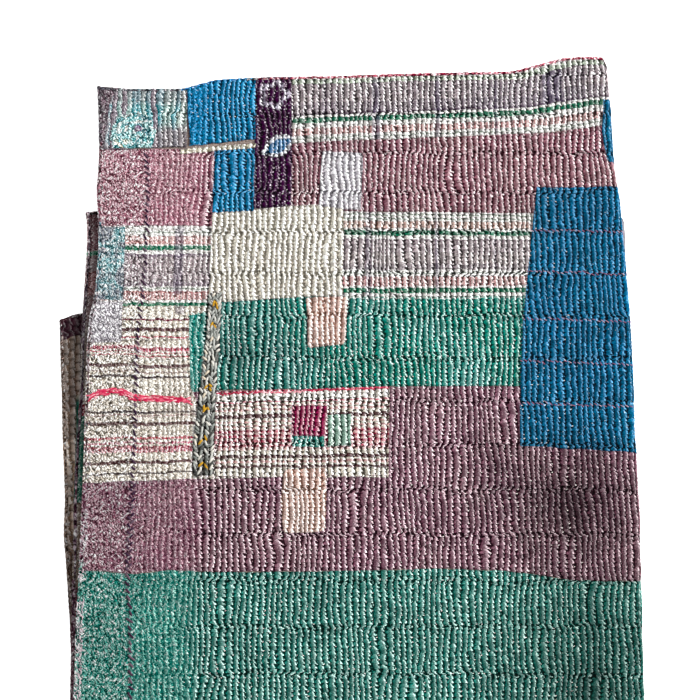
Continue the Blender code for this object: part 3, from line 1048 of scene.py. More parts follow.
@dataclass(frozen=True)
class Panel:
    """One cloth of the front: a band or a patch, between four edges on the page.

    The edges are in millimetres. Bottom and top give a y for each x, left and right an x for
    each y, so left and right are written (y, x). A single number is the same all along.
    """

    name: str
    cloth: Cotton
    bottom: Line
    top: Line
    left: Line
    right: Line
    level: float = 0.0  # millimetres above the bands
    pinch: float = 0.32  # share of a rib's height taken at a row
    gain: float = 1.0  # share of the quilting's height
    tucked: str = "lrbt"  # edges turned under, by their first letters
    corner: float = 0.0  # radius of the corners
    fine: float = 1.0  # share of the patchwork's step
    coarse_below: float = -600.0  # y below which the photograph ends
    flat: float = 1.0  # how flat it lies beside the side hem
    unquilted: tuple[float, float, float] = (0.0, 0.0, 0.0)  # x, y and radius of a flat spot
    shift_map: tuple[float, float] = (0.0, 0.0)
    wobble: float = 0.7 * MM  # how far a hand-sewn edge strays

    @staticmethod
    def table(edge: tuple[tuple[float, float], ...] | float) -> Array:
        """An edge's rows in metres."""
        return np.array(edge if isinstance(edge, tuple) else ((0.0, edge),), dtype=float) * MM

    def line(self, form: QuiltForm, edge: Line, at: Array, wobble: float = 0.0) -> Array:
        """The other coordinate of an edge, at places along it.

        Args:
            form: The quilt's folds.
            edge: The edge.
            at: Places in metres.
            wobble: How far the edge strays.

        Returns:
            Places in metres: the table's straight runs plus soft noise, or a named edge, just
            inside a hem or a little past the fold's arc.
        """
        if edge is Edge.SIDE_HEM:
            return form.edge("side", at) + 0.8 * MM
        if edge is Edge.ROUND_FOLD:
            return form.bend_x(np.maximum(at, form.bottom)) + form.fold_arc + 8.0 * MM
        if edge is Edge.END_HEM:
            across, _ = form.locate(at, np.zeros_like(at))
            return form.hem(across, Half.UPPER) - 0.8 * MM
        rows = self.table(edge)
        seed = sum(ord(c) for c in self.name)
        stray = SoftNoise(seed, 11.0 * MM).at(at, np.full_like(at, rows[0, 1]))
        return np.interp(at, rows[:, 0], rows[:, 1]) + wobble * stray

    def grid(self, form: QuiltForm, share_x: Array, share_y: Array) -> tuple[Array, Array]:
        """Page points at shares of the panel's width and height.

        Args:
            form: The quilt's folds.
            share_x: 0 at the left edge, 1 at the right.
            share_y: 0 at the bottom edge, 1 at the top.

        Returns:
            (x, y): each lies between two edges at the other, found by a few rounds. A round corner
            moves x in by the radius less the leg of its right triangle.
        """
        x = np.zeros(np.broadcast(share_x, share_y).shape)
        y = np.full_like(x, np.mean(self.table(self.bottom)[:, 1]))
        for _ in range(4):
            left = self.line(form, self.left, y, self.wobble)
            right = self.line(form, self.right, y, self.wobble)
            x = left + (right - left) * share_x
            low = self.line(form, self.bottom, x, self.wobble)
            high = self.line(form, self.top, x, self.wobble)
            y = low + (high - low) * share_y
        if self.corner:
            near = np.minimum(share_y, 1.0 - share_y) * (high - low) / (self.corner * MM)
            inset = self.corner * MM * (1.0 - np.sqrt(1.0 - (1.0 - np.clip(near, 0, 1)) ** 2))
            x = x + inset * (1.0 - 2.0 * share_x)
        return x, y

    def box(self, form: QuiltForm) -> tuple[Array, Array]:
        """Page points of the panel's four corners, the bottom two first."""
        return self.grid(form, np.array([0, 1, 0, 1.0]), np.array([0, 0, 1, 1.0]))

    def covers(self, form: QuiltForm, x: Array, y: Array, margin: float = 0.0) -> Array:
        """Whether page points lie under this panel.

        Args:
            form: The quilt's folds.
            x, y: Page places.
            margin: How far in from its edges they have to lie, in metres.

        Returns:
            True where all four edges are past the margin.
        """
        inside = (x > self.line(form, self.left, y) + margin)
        inside &= x < self.line(form, self.right, y) - margin
        inside &= y > self.line(form, self.bottom, x) + margin
        return inside & (y < self.line(form, self.top, x) - margin)

    @staticmethod
    def spaced(length: float, step: float, coarse: float = 0.0) -> Array:
        """Places of the grid's lines along a length.

        Args:
            length: The length, in metres.
            step: The usual step.
            coarse: How much of the start has steps 2.6 times as long.

        Returns:
            Shares of the length: two close lines at each end for the turned edge, and even steps.
        """
        ends = np.array([0.0, 0.45 * MM, 1.1 * MM])
        start = max(ends[-1], coarse)
        count = max(2, round((length - ends[-1] - start) / step))
        body = np.linspace(start, length - ends[-1], count + 1)
        if coarse > ends[-1]:
            first = np.linspace(ends[-1], coarse, round(coarse / (2.6 * step)) + 1)
            body = np.concatenate([first[:-1], body])
        return np.concatenate([ends[:-1], body, length - ends[:-1][::-1]]) / length


@dataclass(frozen=True)
class Patchwork:
    """All the cloths of the front, laid over each other on the quilting."""

    form: QuiltForm
    quilting: Quilting
    panels: tuple[Panel, ...]
    step_x: float = 1.25 * MM
    step_y: float = 1.63 * MM
    edge_turn: float = 1.5 * MM  # over which a turned edge goes down
    sunk: float = 0.55 * MM  # how far below the bands' crests it ends
    edge_shade: float = 2.2 * MM  # how wide the painted shade along a turned edge is
    hidden_margin: float = 3.0 * MM
    soft_spot: float = 5.0 * MM

    def build(self, panel: Panel, above: tuple[Panel, ...]) -> bpy.types.Object:
        """One panel as a surface over the page.

        Args:
            panel: The panel.
            above: The panels laid over it, under which its hidden quads are left out.

        Returns:
            The piece. Its edges turn down in a quarter circle over the edge turn.
        """
        corner_x, corner_y = panel.box(self.form)
        wide = float(np.ptp(corner_x))
        tall = float((corner_y[2] - corner_y[0] + corner_y[3] - corner_y[1]) / 2)
        coarse = panel.coarse_below * MM - float(np.min(corner_y))
        columns = panel.spaced(wide, self.step_x * panel.fine)
        rows = panel.spaced(tall, self.step_y * panel.fine, coarse)
        share_x, share_y = np.meshgrid(columns, rows)
        x, y = panel.grid(self.form, share_x, share_y)
        ribs, lines = self.quilting.ribs(x, y), self.quilting.rows(x, y)
        crest = self.quilting.crest(ribs, lines, x, y, panel.pinch)
        height = (crest - 1.0) * (self.quilting.depth(x) * panel.gain)
        height = height + self.quilting.swell(x, y) + panel.level * MM
        ends = {"l": share_x * wide, "r": (1 - share_x) * wide}
        ends |= {"b": share_y * tall, "t": (1 - share_y) * tall}
        near = np.full_like(x, 1.0)
        for key in panel.tucked:
            near = np.minimum(near, ends[key])
        turned = 1.0 - np.clip(near / self.edge_turn, 0.0, 1.0)
        height = height - (panel.level * MM + self.sunk) * (1.0 - np.sqrt(1.0 - turned**2))
        points = self.form.on_page(x, y, height)
        keep = np.ones((len(rows) - 1, len(columns) - 1), dtype=bool)
        for other in above:
            hidden = other.covers(self.form, x, y, self.hidden_margin)
            keep &= ~(hidden[:-1, :-1] & hidden[1:, :-1] & hidden[:-1, 1:] & hidden[1:, 1:])
        u, v = x + panel.shift_map[0] * MM, share_y * tall + panel.shift_map[1] * MM
        at_x, at_y, round_it = np.array(panel.unquilted) * MM
        spot = ease((round_it - np.hypot(x - at_x, y - at_y)) / self.soft_spot)
        left = np.maximum((1.0 - self.quilting.fullness(x)) * panel.flat, spot)
        # edge paints a line of shade along each turned edge
        edge = np.clip(1.0 - near / self.edge_shade, 0.0, 1.0)
        values = {"rib": ribs, "row": lines, "jog": self.quilting.near_jog(x, y),
                  "edge": edge, "left": left, "shade": self.shade(x, y)}
        return add_surface(panel.name, points, np.stack([u, v], axis=-1), values, panel.cloth, keep)

    @staticmethod
    def shade(x: Array, y: Array) -> Array:
        """Painted shade and painted light at page points: bell shapes that paint the cloth darker or paler,
        and soft noise for uneven tone.
        """
        return 1.0 + bell_shapes(PAINTED_SHADES, x, y) + 0.10 * SoftNoise(47, 26.0 * MM).at(x, y)

    def build_all(self) -> list[bpy.types.Object]:
        """Every panel, each without what lies hidden under later ones."""
        return [self.build(panel, self.panels[number + 1 :]) for number, panel in enumerate(self.panels)]

    def level_at(self, x: Array, y: Array) -> Array:
        """The level of the topmost cloth.

        Args:
            x, y: Page places.

        Returns:
            Metres above the bands: the last panel in order that covers a point counts.
        """
        level = np.zeros_like(x)
        for panel in self.panels:
            level = np.where(panel.covers(self.form, x, y), panel.level * MM, level)
        return level


# -------- this quilt

# Painted shade and painted light: places where the cloth is painted darker or paler than its dye: x, y,
# width and length in millimetres on the page, and the change
PAINTED_SHADES = (
    (260, -70, 95, 75, -0.66), (170, -20, 45, 60, -0.10), (285, -290, 95, 130, -0.61),
    (0, -60, 90, 40, 0.06), (-60, 100, 50, 40, -0.20), (-125, 100, 40, 50, -0.36),
    (110, 115, 60, 45, 0.07), (-48, -75, 28, 40, -0.24), (-20, 135, 24, 34, 0.14),
    (-270, 35, 60, 80, -0.25), (-265, -300, 60, 150, -0.09), (-255, -100, 80, 60, -0.08),
    (215, 265, 40, 40, -0.16), (268, 36, 60, 34, 0.15),
)

# Stripes of the sari cloth, as shares of a band's height from its top
WHITE = dye(244, 240, 236)
CREAM = dye(238, 229, 216)
PLAID = dye(158, 142, 148)
GREEN_LINE = dye(52, 118, 92)
GREY_LINE = dye(150, 160, 148)
PINK = dye(196, 146, 146)
MAROON = dye(120, 62, 76)
RED = dye(196, 40, 78)
ROSE_RED = dye(190, 92, 112)
BROWN = dye(104, 76, 78)
INK = dye(72, 58, 62)

TOP_STRIPES = lines_on(
    WHITE, (0.0, 0.045, dye(186, 120, 128)), (0.085, 0.16, dye(196, 206, 190)),
    (0.16, 0.36, dye(148, 132, 140)), (0.36, 0.43, dye(156, 140, 146)), (0.43, 0.585, dye(130, 114, 126)),
    (0.585, 0.61, dye(92, 74, 90)), (0.645, 0.72, GREEN_LINE), (0.80, 0.895, PINK),
    (0.94, 0.955, GREY_LINE))
SECOND_STRIPES = lines_on(
    WHITE, (0.03, 0.045, GREY_LINE), (0.075, 0.09, GREY_LINE), (0.115, 0.19, dye(206, 170, 160)),
    (0.215, 0.27, GREEN_LINE), (0.315, 0.34, dye(140, 122, 130)), (0.34, 0.47, PLAID),
    (0.47, 0.60, dye(166, 152, 154)), (0.60, 0.663, dye(142, 128, 134)), (0.695, 0.705, GREY_LINE),
    (0.735, 0.84, PINK), (0.865, 0.92, GREEN_LINE), (0.955, 0.965, GREY_LINE))
LEFT_STRIPES = lines_on(
    WHITE, (0.046, 0.058, GREY_LINE), (0.085, 0.158, dye(214, 176, 174)), (0.168, 0.21, GREEN_LINE),
    (0.243, 0.27, dye(128, 110, 124)), (0.27, 0.40, PLAID), (0.40, 0.49, dye(160, 144, 150)),
    (0.49, 0.53, dye(134, 116, 128)), (0.545, 0.556, GREY_LINE), (0.571, 0.646, PINK),
    (0.67, 0.703, GREEN_LINE), (0.703, 0.812, CREAM), (0.812, 0.827, MAROON), (0.827, 0.888, CREAM),
    (0.888, 0.92, BROWN), (0.92, 0.962, CREAM), (0.962, 0.975, ROSE_RED), (0.975, 1.0, CREAM))
NINETEEN_LEFT = lines_on(
    CREAM, (0.039, 0.065, ROSE_RED), (0.078, 0.085, ROSE_RED), (0.10, 0.108, RED), (0.165, 0.189, BROWN),
    (0.217, 0.223, dye(170, 148, 146)), (0.25, 0.262, INK), (0.503, 0.516, INK),
    (0.53, 0.538, dye(170, 140, 142)), (0.58, 0.602, BROWN), (0.685, 0.702, RED),
    (0.722, 0.735, dye(202, 110, 134)), (0.752, 0.775, ROSE_RED), (0.775, 0.783, dye(222, 168, 174)),
    (0.783, 0.795, ROSE_RED), (0.854, 0.878, BROWN), (0.937, 0.949, INK))
BLUSH = dye(220, 180, 178)
DEEP_ROSE = dye(176, 72, 96)
NINETEEN_RIGHT = lines_on(
    CREAM, (0.0, 0.026, RED), (0.026, 0.125, dye(252, 245, 236)), (0.125, 0.138, ROSE_RED),
    (0.165, 0.185, BLUSH), (0.21, 0.235, BLUSH), (0.277, 0.323, BROWN), (0.35, 0.37, BLUSH),
    (0.40, 0.42, BLUSH), (0.44, 0.458, BLUSH), (0.458, 0.482, DEEP_ROSE), (0.482, 0.51, BLUSH),
    (0.51, 0.538, DEEP_ROSE), (0.538, 0.566, BLUSH), (0.566, 0.594, DEEP_ROSE), (0.594, 0.622, BLUSH),
    (0.622, 0.648, DEEP_ROSE), (0.648, 0.68, BLUSH), (0.737, 0.777, BROWN), (0.80, 0.825, BLUSH),
    (0.854, 0.880, BROWN))

ROSE = Cotton("rose_cotton", dye(154, 111, 121), dye(164, 135, 134), 0.45, flecks=0.06, left_flecks=0.2)
ROSE_LEFT = Cotton("rose_cotton_left", dye(171, 126, 138), dye(182, 152, 156), 0.5, left_flecks=0.25)
MAUVE = Cotton(
    "mauve_cotton", dye(139, 103, 116), dye(163, 135, 139), 0.5, flecks=0.08, left_flecks=0.30,
    fleck_colour=dye(214, 184, 190))
GREEN_HIGH = Cotton("green_cotton", dye(50, 139, 123), dye(112, 169, 164), 0.85, fade_scale=11.0)
GREEN_LOW = Cotton(
    "sea_green_cotton", dye(78, 137, 127), dye(95, 152, 140), 0.5, left_flecks=0.12,
    fleck_colour=dye(176, 206, 190))
BLUE = Cotton(
    "blue_cotton", dye(3, 121, 171), dye(14, 131, 171), 0.4, line=1.8, pale=0.0, painted_shade_richness=0.35,
    flecks=0.04, fleck_colour=dye(214, 230, 238))
DEEP_BLUE = replace(BLUE, name="deep_blue_cotton", colour=dye(1, 97, 137), faded=dye(5, 106, 137))
CREAM_COTTON = Cotton(
    "cream_cotton", dye(241, 235, 222), dye(224, 215, 201), 0.5, line=0.8, valley=0.10, flecks=0.02)
LILAC_WHITE = Cotton(
    "lilac_white_cotton", dye(214, 209, 214), dye(191, 189, 200), 0.6, line=0.8, valley=0.10,
    flecks=0.02)
LILAC_LEFT = replace(
    LILAC_WHITE, name="lilac_white_cotton_left", colour=dye(209, 204, 207), faded=dye(187, 183, 194))
PEACH = Cotton("peach_cotton", dye(237, 201, 189), dye(241, 223, 216), 0.5, valley=0.10, flecks=0.03)
MAGENTA = Cotton(
    "magenta_cotton", dye(158, 72, 100), dye(169, 89, 112), 0.4, line=0.6, pale=0.1, flecks=0.02)
PALE_GREEN = Cotton("pale_green_cotton", dye(161, 192, 176), dye(185, 205, 191), 0.5, flecks=0.02)
PURPLE = DottedCotton(
    "dotted_purple_cotton", dye(53, 6, 52), dye(67, 16, 64), flecks=0.0, pale=0.15,
    flower=(-0.088, 0.428), leaf=(-0.082, 0.361))
AQUA_PRINT = MottledCotton(
    "aqua_print", dye(126, 172, 177), dye(188, 194, 196), 0.5, flecks=0.08,
    second=dye(123, 129, 140), stroke=dye(211, 214, 211))
BLOSSOM = BlossomCotton(
    "blossom_print", dye(140, 200, 205), dye(180, 200, 200), flecks=0.06, centre=(-0.262, 0.377))
BRAID = Cotton("plait_ground", dye(74, 72, 70), dye(104, 100, 92), flecks=0.06)
SARI_TOP = StripedCotton(
    "striped_sari_top", WHITE, dye(200, 196, 186), 0.18, height=82 * MM, stripes=TOP_STRIPES,
    checks=((0.17, 0.58, 0.30), (0.80, 0.89, 0.5)), flecks=0.08, bands=((34, 44, 0.0, 1.0, 0.65),
    (112, 119, 0.0, 1.0, 0.6), (186, 190, 0.1, 1.0, 0.5), (160, 300, 0.20, 0.60, 0.25),
    (247, 271, 0.16, 0.60, 0.75), (-28, -22, 0.1, 1.0, 0.3)))
SARI_SECOND = StripedCotton(
    "striped_sari", WHITE, dye(200, 196, 186), 0.18, height=110 * MM, stripes=SECOND_STRIPES,
    checks=((0.33, 0.66, 0.30), (0.735, 0.84, 0.5), (0.115, 0.19, 0.4)), flecks=0.08,
    bands=((25, 32, 0.0, 1.0, 0.5), (109, 113, 0.0, 1.0, 0.6), (179, 183, 0.3, 0.7, 0.4)))
SARI_LEFT = StripedCotton(
    "striped_sari_left", WHITE, dye(206, 200, 190), 0.18, height=141 * MM, stripes=LEFT_STRIPES,
    checks=((0.26, 0.53, 0.35), (0.59, 0.66, 0.5), (0.075, 0.13, 0.4)), flecks=0.08,
    bands=((-205, -194, 0.0, 0.60, 0.6), (-202, -190, 0.70, 0.77, 0.6)))
SHIRT_LEFT = StripedCotton(
    "red_striped_cotton", CREAM, dye(184, 170, 162), 0.55, height=168 * MM, stripes=NINETEEN_LEFT,
    checks=((0.03, 0.14, 0.4), (0.68, 0.80, 0.4)), step=(-0.247, 3.4 * MM))
SHIRT_RIGHT = StripedCotton(
    "red_striped_cotton_right", CREAM, dye(216, 204, 192), 0.15, height=104 * MM,
    stripes=NINETEEN_RIGHT, checks=((0.0, 0.026, 0.5), (0.44, 0.68, 0.2)))

STRIP_COTTON = Cotton(
    "strip_cotton", dye(238, 232, 214), dye(226, 218, 198), 0.5, line=0.4, valley=0.10, flecks=0.02)
SCRAP = MottledCotton(
    "corner_scrap_cotton", dye(112, 90, 101), dye(162, 156, 161), 0.6, flecks=0.08,
    second=dye(72, 65, 71), stroke=dye(190, 180, 186), strokes=0.3, mottle_scale=90.0)
BACKING = Cotton("brown_backing", dye(140, 123, 115), dye(167, 150, 134), 0.6, flecks=0.10)
UNDERSIDE_ROSE = Cotton("underside_rose", dye(150, 96, 108), dye(168, 120, 124), 0.5)

NEXT_STRIPES = (
    (0.0, dye(97, 72, 75)), (0.03, dye(116, 89, 93)), (0.064, dye(68, 113, 93)),
    (0.071, dye(137, 122, 123)), (0.098, dye(139, 105, 106)), (0.14, dye(111, 91, 93)),
    (0.19, dye(142, 132, 126)), (0.315, dye(111, 42, 54)), (0.335, dye(44, 93, 78)),
    (0.47, dye(122, 109, 100)), (0.60, dye(89, 57, 65)), (0.66, dye(83, 51, 60)),
)
LAST_STRIPES = (
    (0.0, dye(50, 28, 38)), (0.040, dye(120, 107, 99)), (0.12, dye(136, 120, 112)),
    (0.18, dye(154, 138, 128)), (0.24, dye(208, 188, 173)), (0.32, dye(212, 192, 177)),
    (0.37, dye(190, 170, 157)), (0.42, dye(162, 143, 132)), (0.51, dye(134, 112, 110)),
    (0.60, dye(108, 90, 92)),
)
NEXT_CLOTH = StripedCotton(
    "second_layer_bands", WHITE, dye(110, 100, 100), 0.3, height=1.0, stripes=NEXT_STRIPES, flecks=0.16)
LAST_CLOTH = StripedCotton(
    "third_layer_bands", WHITE, dye(120, 112, 106), 0.12, valley=0.22, height=1.0, stripes=LAST_STRIPES,
    bands=((266, 300, 0.165, 0.30, 0.95),), band_colour=dye(40, 86, 76), line=0.2, pale=0.1,
    flecks=0.01, grain=0.5)
LOW_FOLD_CLOTH = MottledCotton(
    "low_fold_cloth", dye(206, 204, 214), dye(190, 188, 200), 0.5, second=dye(176, 172, 190),
    stroke=dye(230, 228, 234))
UPPER_HEM_CLOTH = StripedCotton(
    "top_hem_cloth", WHITE, dye(150, 120, 124), 0.3, height=1.0, flecks=0.14,
    stripes=((0.0, dye(120, 90, 100)), (0.655, dye(190, 120, 132)), (0.892, dye(96, 110, 116)),
    (0.9, dye(24, 120, 180)), (0.945, dye(92, 92, 100)), (1.0, dye(92, 92, 100))))
SIDE_HEM_BANDS = StripedCotton(
    "outer_hem_cloth", WHITE, dye(120, 104, 112), 0.3, height=1.0, flecks=0.14, left_flecks=0.2,
    stripes=((0.0, dye(92, 64, 72)), (0.011, dye(134, 118, 108)), (0.38, dye(96, 150, 138)),
    (0.7827, dye(134, 96, 110)), (0.8192, dye(128, 108, 110)), (0.8803, dye(126, 112, 118)),
    (0.8994, dye(104, 130, 140)), (0.9333, dye(150, 108, 118)), (0.9705, dye(92, 84, 92))))
SIDE_HEM_CLOTH = MottledCotton(
    "side_hem_cloth", dye(121, 86, 101), dye(196, 166, 173), 0.5, flecks=0.25,
    second=dye(93, 78, 91), stroke=dye(221, 203, 213), mottle_scale=8.0)
LOW_HEM_CLOTH = MottledCotton(
    "low_hem_cloth", dye(80, 58, 62), dye(110, 96, 92), 0.5, flecks=0.2, second=dye(60, 50, 52),
    stroke=dye(130, 120, 118), mottle_scale=8.0)

PALE_THREAD = Thread(
    "pale_thread", ((0.0, dye(250, 246, 240)), (0.5, dye(222, 214, 208)),
    (1.0, dye(186, 178, 180))))
DARK_THREAD = Thread(
    "dark_thread", ((0.0, dye(44, 26, 48)), (0.6, dye(70, 48, 66)), (1.0, dye(100, 84, 96))))
FRAYED_THREAD = Thread(
    "frayed_thread", ((0.0, dye(226, 224, 224)), (0.35, dye(180, 176, 180)),
    (0.6, dye(120, 110, 118)), (0.8, dye(206, 180, 186)), (1.0, dye(92, 120, 112))))
PINK_THREAD = Thread(
    "pink_thread", ((0.0, dye(160, 98, 124)), (0.5, dye(134, 80, 108)),
    (1.0, dye(196, 170, 186))))
RED_THREAD = Thread(
    "red_thread", ((0.0, dye(160, 28, 60)), (0.5, dye(196, 50, 86)), (0.8, dye(214, 110, 128)),
    (1.0, dye(240, 196, 200))))
YARN = Thread(
    "plait_yarn", ((0.0, dye(61, 61, 59)), (0.25, dye(122, 126, 121)), (0.55, dye(166, 168, 163)),
    (0.8, dye(207, 203, 193)), (0.9, dye(177, 145, 86)), (1.0, dye(177, 134, 39))))

# Seams that two bands share
GREEN_SEAM = (
    (-310, -154), (-282, -154), (-238, -157), (-202, -153), (-150, -155), (-5, -154), (105, -151),
    (170, -153), (213, -157), (258, -164), (301, -165), (380, -165),
)
TOP_SEAM = ((-72, 364), (-6, 368), (118, 373), (242, 378), (319, 387), (380, 390))

FRONT = (
    Panel("lower_green", GREEN_LOW, -508, GREEN_SEAM, Edge.SIDE_HEM, Edge.ROUND_FOLD, tucked="t",
          coarse_below=-335.0),
    Panel("mauve", MAUVE, GREEN_SEAM, ((-310, 50), (-42, 56), (49, 59), (207, 60), (380, 60)),
          Edge.SIDE_HEM, Edge.ROUND_FOLD, tucked="bt"),
    Panel("upper_green", GREEN_HIGH, ((-200, 49), (-152, 55), (-42, 56), (49, 59), (240, 60)),
          ((-200, 148), (-158, 166), (-149, 169), (-47, 175), (240, 172)), -186, 232, tucked="bt"),
    Panel("second_striped_band", SARI_SECOND, ((-12, 163), (114, 163), (245, 165)),
          ((-12, 274), (245, 272)), -10, 238, tucked="bt"),
    Panel("rose_band", ROSE, ((-72, 278), (22, 274), (116, 273), (228, 272), (380, 272)), TOP_SEAM, -68,
          Edge.ROUND_FOLD, tucked="bt"),
    Panel("top_striped_band", SARI_TOP, TOP_SEAM, Edge.END_HEM, -70, Edge.ROUND_FOLD, tucked="b"),
    Panel("left_striped_panel", SARI_LEFT, 114, 256, Edge.SIDE_HEM, ((100, -184), (145, -184), (149, -158),
          (270, -158)), 0.1, tucked="brt"),
    Panel("left_rose_panel", ROSE_LEFT, 255, 357, Edge.SIDE_HEM, ((250, -158), (360, -161)), 0.15,
          tucked="brt"),
    Panel("red_striped_panel", SHIRT_LEFT, ((-320, -55), (-179, -50), (-160, -50)), 115, Edge.SIDE_HEM,
          ((-60, -168), (30, -168), (60, -181), (120, -183)), 0.2, tucked="brt"),
    Panel("red_striped_panel_right", SHIRT_RIGHT, ((-180, -50), (-150, -49.3), (-98, -48.2), (60, -47.6)),
          ((-180, 50), (-152, 53), (-42, 56.5), (60, 60)), -172, ((-60, 52), (60, 54)), 0.25, pinch=0.55,
          tucked="brt"),
    Panel("light_blue_print", AQUA_PRINT, 163, 255, Edge.SIDE_HEM, ((160, -263), (256, -265)), 0.4,
          tucked="brt"),
    Panel("small_lilac_patch", LILAC_LEFT, 111, ((-320, 163), (-255, 161)), Edge.SIDE_HEM, -264, 0.35,
          tucked="brt"),
    Panel("corner_scrap", SCRAP, 352, Edge.END_HEM, Edge.SIDE_HEM, -262, 0.1, tucked="blr"),
    Panel("blossom_patch", BLOSSOM, ((-320, 356), (-190, 360)), Edge.END_HEM, ((350, -301), (366, -298),
          (420, -293), (432, -286), (440, -280)), ((350, -195), (450, -197)), 0.35, tucked="blr",
          flat=0.32, unquilted=(-263, 378, 31), shift_map=(0, 358)),
    Panel("upper_blue_patch", BLUE, ((-200, 360), (-104, 371), (-90, 371)), Edge.END_HEM,
          ((355, -191), (440, -198)), ((365, -103), (455, -111)), 0.5, tucked="blr"),
    Panel("blue_patch", BLUE, ((-170, 272), (-100, 274)), ((-170, 355), (-100, 362)), -161,
          ((270, -110), (365, -106)), 0.45),
    Panel("purple_patch", PURPLE, ((-115, 277), (-60, 282)), Edge.END_HEM, ((276, -111), (450, -112)),
          ((280, -64), (450, -66)), 0.7, tucked="blr", shift_map=(0, 280)),
    Panel("cream_panel", CREAM_COTTON, ((-175, 171), (-144, 160), (-47, 167), (10, 169)), ((-175, 272),
          (-110, 277), (-32, 284), (10, 276)), ((160, -163), (272, -161)), ((160, -2), (280, 0)), 0.4,
          pinch=0.12, gain=1.1),
    Panel("lilac_patch", LILAC_WHITE, ((-40, 281), (30, 274)), ((-40, 355), (30, 352)),
          ((270, -32), (360, -28)), ((270, 20), (360, 23)), 0.5, pinch=0.15, corner=3.0),
    Panel("white_strip", STRIP_COTTON, ((-210, 349), (-161, 353), (-100, 359)),
          ((-210, 356), (-161, 360), (-100, 366)), -204, -109, 0.8, pinch=0.5, fine=0.7),
    Panel("big_blue_patch", DEEP_BLUE, ((195, -10), (338, -19), (380, -20)), ((195, 307), (234, 306),
          (333, 305), (380, 304)), ((-20, 204), (43, 206), (115, 210), (163, 215), (225, 223), (310, 234)),
          Edge.ROUND_FOLD, 0.45, tucked="blt"),
    Panel("fold_blue_patch", DEEP_BLUE, ((310, 338), (380, 336)), ((310, 421), (380, 424)),
          ((330, 323), (380, 317), (425, 322)), Edge.ROUND_FOLD, 0.4, tucked="blt"),
    Panel("peach_patch", PEACH, ((-50, 104), (10, 111)), ((-50, 167), (10, 168)), ((95, -43), (175, -47)),
          ((95, 0), (175, 5)), 0.6, pinch=0.2, corner=4.0),
    Panel("braided_strip", BRAID, ((-190, -46), (-140, -45)), 172, ((-50, -177), (-4, -176), (50, -171),
          (115, -164), (175, -162)), ((-50, -151), (-4, -152), (50, -151), (115, -148), (175, -146)), 0.9,
          pinch=0.1, gain=0.5, corner=5.0),
    Panel("magenta_patch", MAGENTA, ((-70, 2), (-15, 0)), 37, -62, ((-5, -22), (40, -20)), 0.6),
    Panel("small_green_patch", GREEN_HIGH, ((-70, -12), (-15, -13)), ((-70, 2), (-15, 0)),
          ((-20, -61), (5, -62)), ((-20, -23), (5, -22)), 0.55),
    Panel("pale_green_patch", PALE_GREEN, ((-25, -12), (15, -11)), ((-25, 26), (15, 27)), -20, 8, 0.5),
    Panel("low_peach_patch", PEACH, ((-80, -112), (-10, -109)), ((-80, -38), (-10, -36)),
          ((-115, -71), (-73, -74), (-35, -70)), ((-115, -21), (-35, -20)), 0.6, pinch=0.2, corner=5.0),
)


# -------- other cloth


@dataclass(frozen=True)
class CoreCloth:
    """The quilt's inner layers: the whole folded sheet, under every facing cloth."""

    form: QuiltForm
    outer_lift: float = -0.5 * MM
    inner_lift: float = -1.25 * MM
    hem_inset: float = 0.0015  # as a share of the cloth
    columns: int = 42
    rows: int = 52
    bends: int = 13

    def run(self, count: int) -> Array:
        """Places 0 to 3 over a flat part, a bend and a flat part, in from the hem at both ends."""
        flat, bend = np.linspace(self.hem_inset, 1.0, count), np.linspace(1.0, 2.0, self.bends)[1:-1]
        return np.concatenate([flat, bend, 3.0 - flat[::-1]])

    def build(self) -> bpy.types.Object:
        """The sheet as one closed shell.

        Returns:
            The piece. Its section, a closed loop over both faces, is carried along the folds.
        """
        across, along = self.run(self.columns), self.run(self.rows)
        loop = np.concatenate([across, across[::-1]])
        lift = np.repeat([self.outer_lift, self.inner_lift], len(across))
        points = self.form.place(loop[None, :], along[:, None], lift[None, :])
        count, width = len(along), len(loop)
        corner = np.arange(count - 1)[:, None] * width + np.arange(width)
        beside = np.arange(count - 1)[:, None] * width + (np.arange(width) + 1) % width
        quads = np.stack([corner, corner + width, beside + width, beside], axis=-1).reshape(-1, 4)
        half = np.arange(len(across) - 1)
        cap = np.stack([half, half + 1, width - 2 - half, width - 1 - half], axis=1)
        quads = np.concatenate([quads, cap, cap[:, ::-1] + (count - 1) * width])
        uv = np.broadcast_arrays(loop[None, :] * self.form.outer_width, along[:, None] * 0.9)
        even = np.ones(count * width)
        values = {key: even * number for key, number in
                  {"rib": 0.5, "row": 0.5, "jog": 0.0, "edge": 0.0, "left": 0.0, "shade": 0.8}.items()}
        uv = np.stack(uv, axis=-1).reshape(-1, 2)
        return add_mesh("quilt_core", points.reshape(-1, 3), quads, uv, values, BACKING)


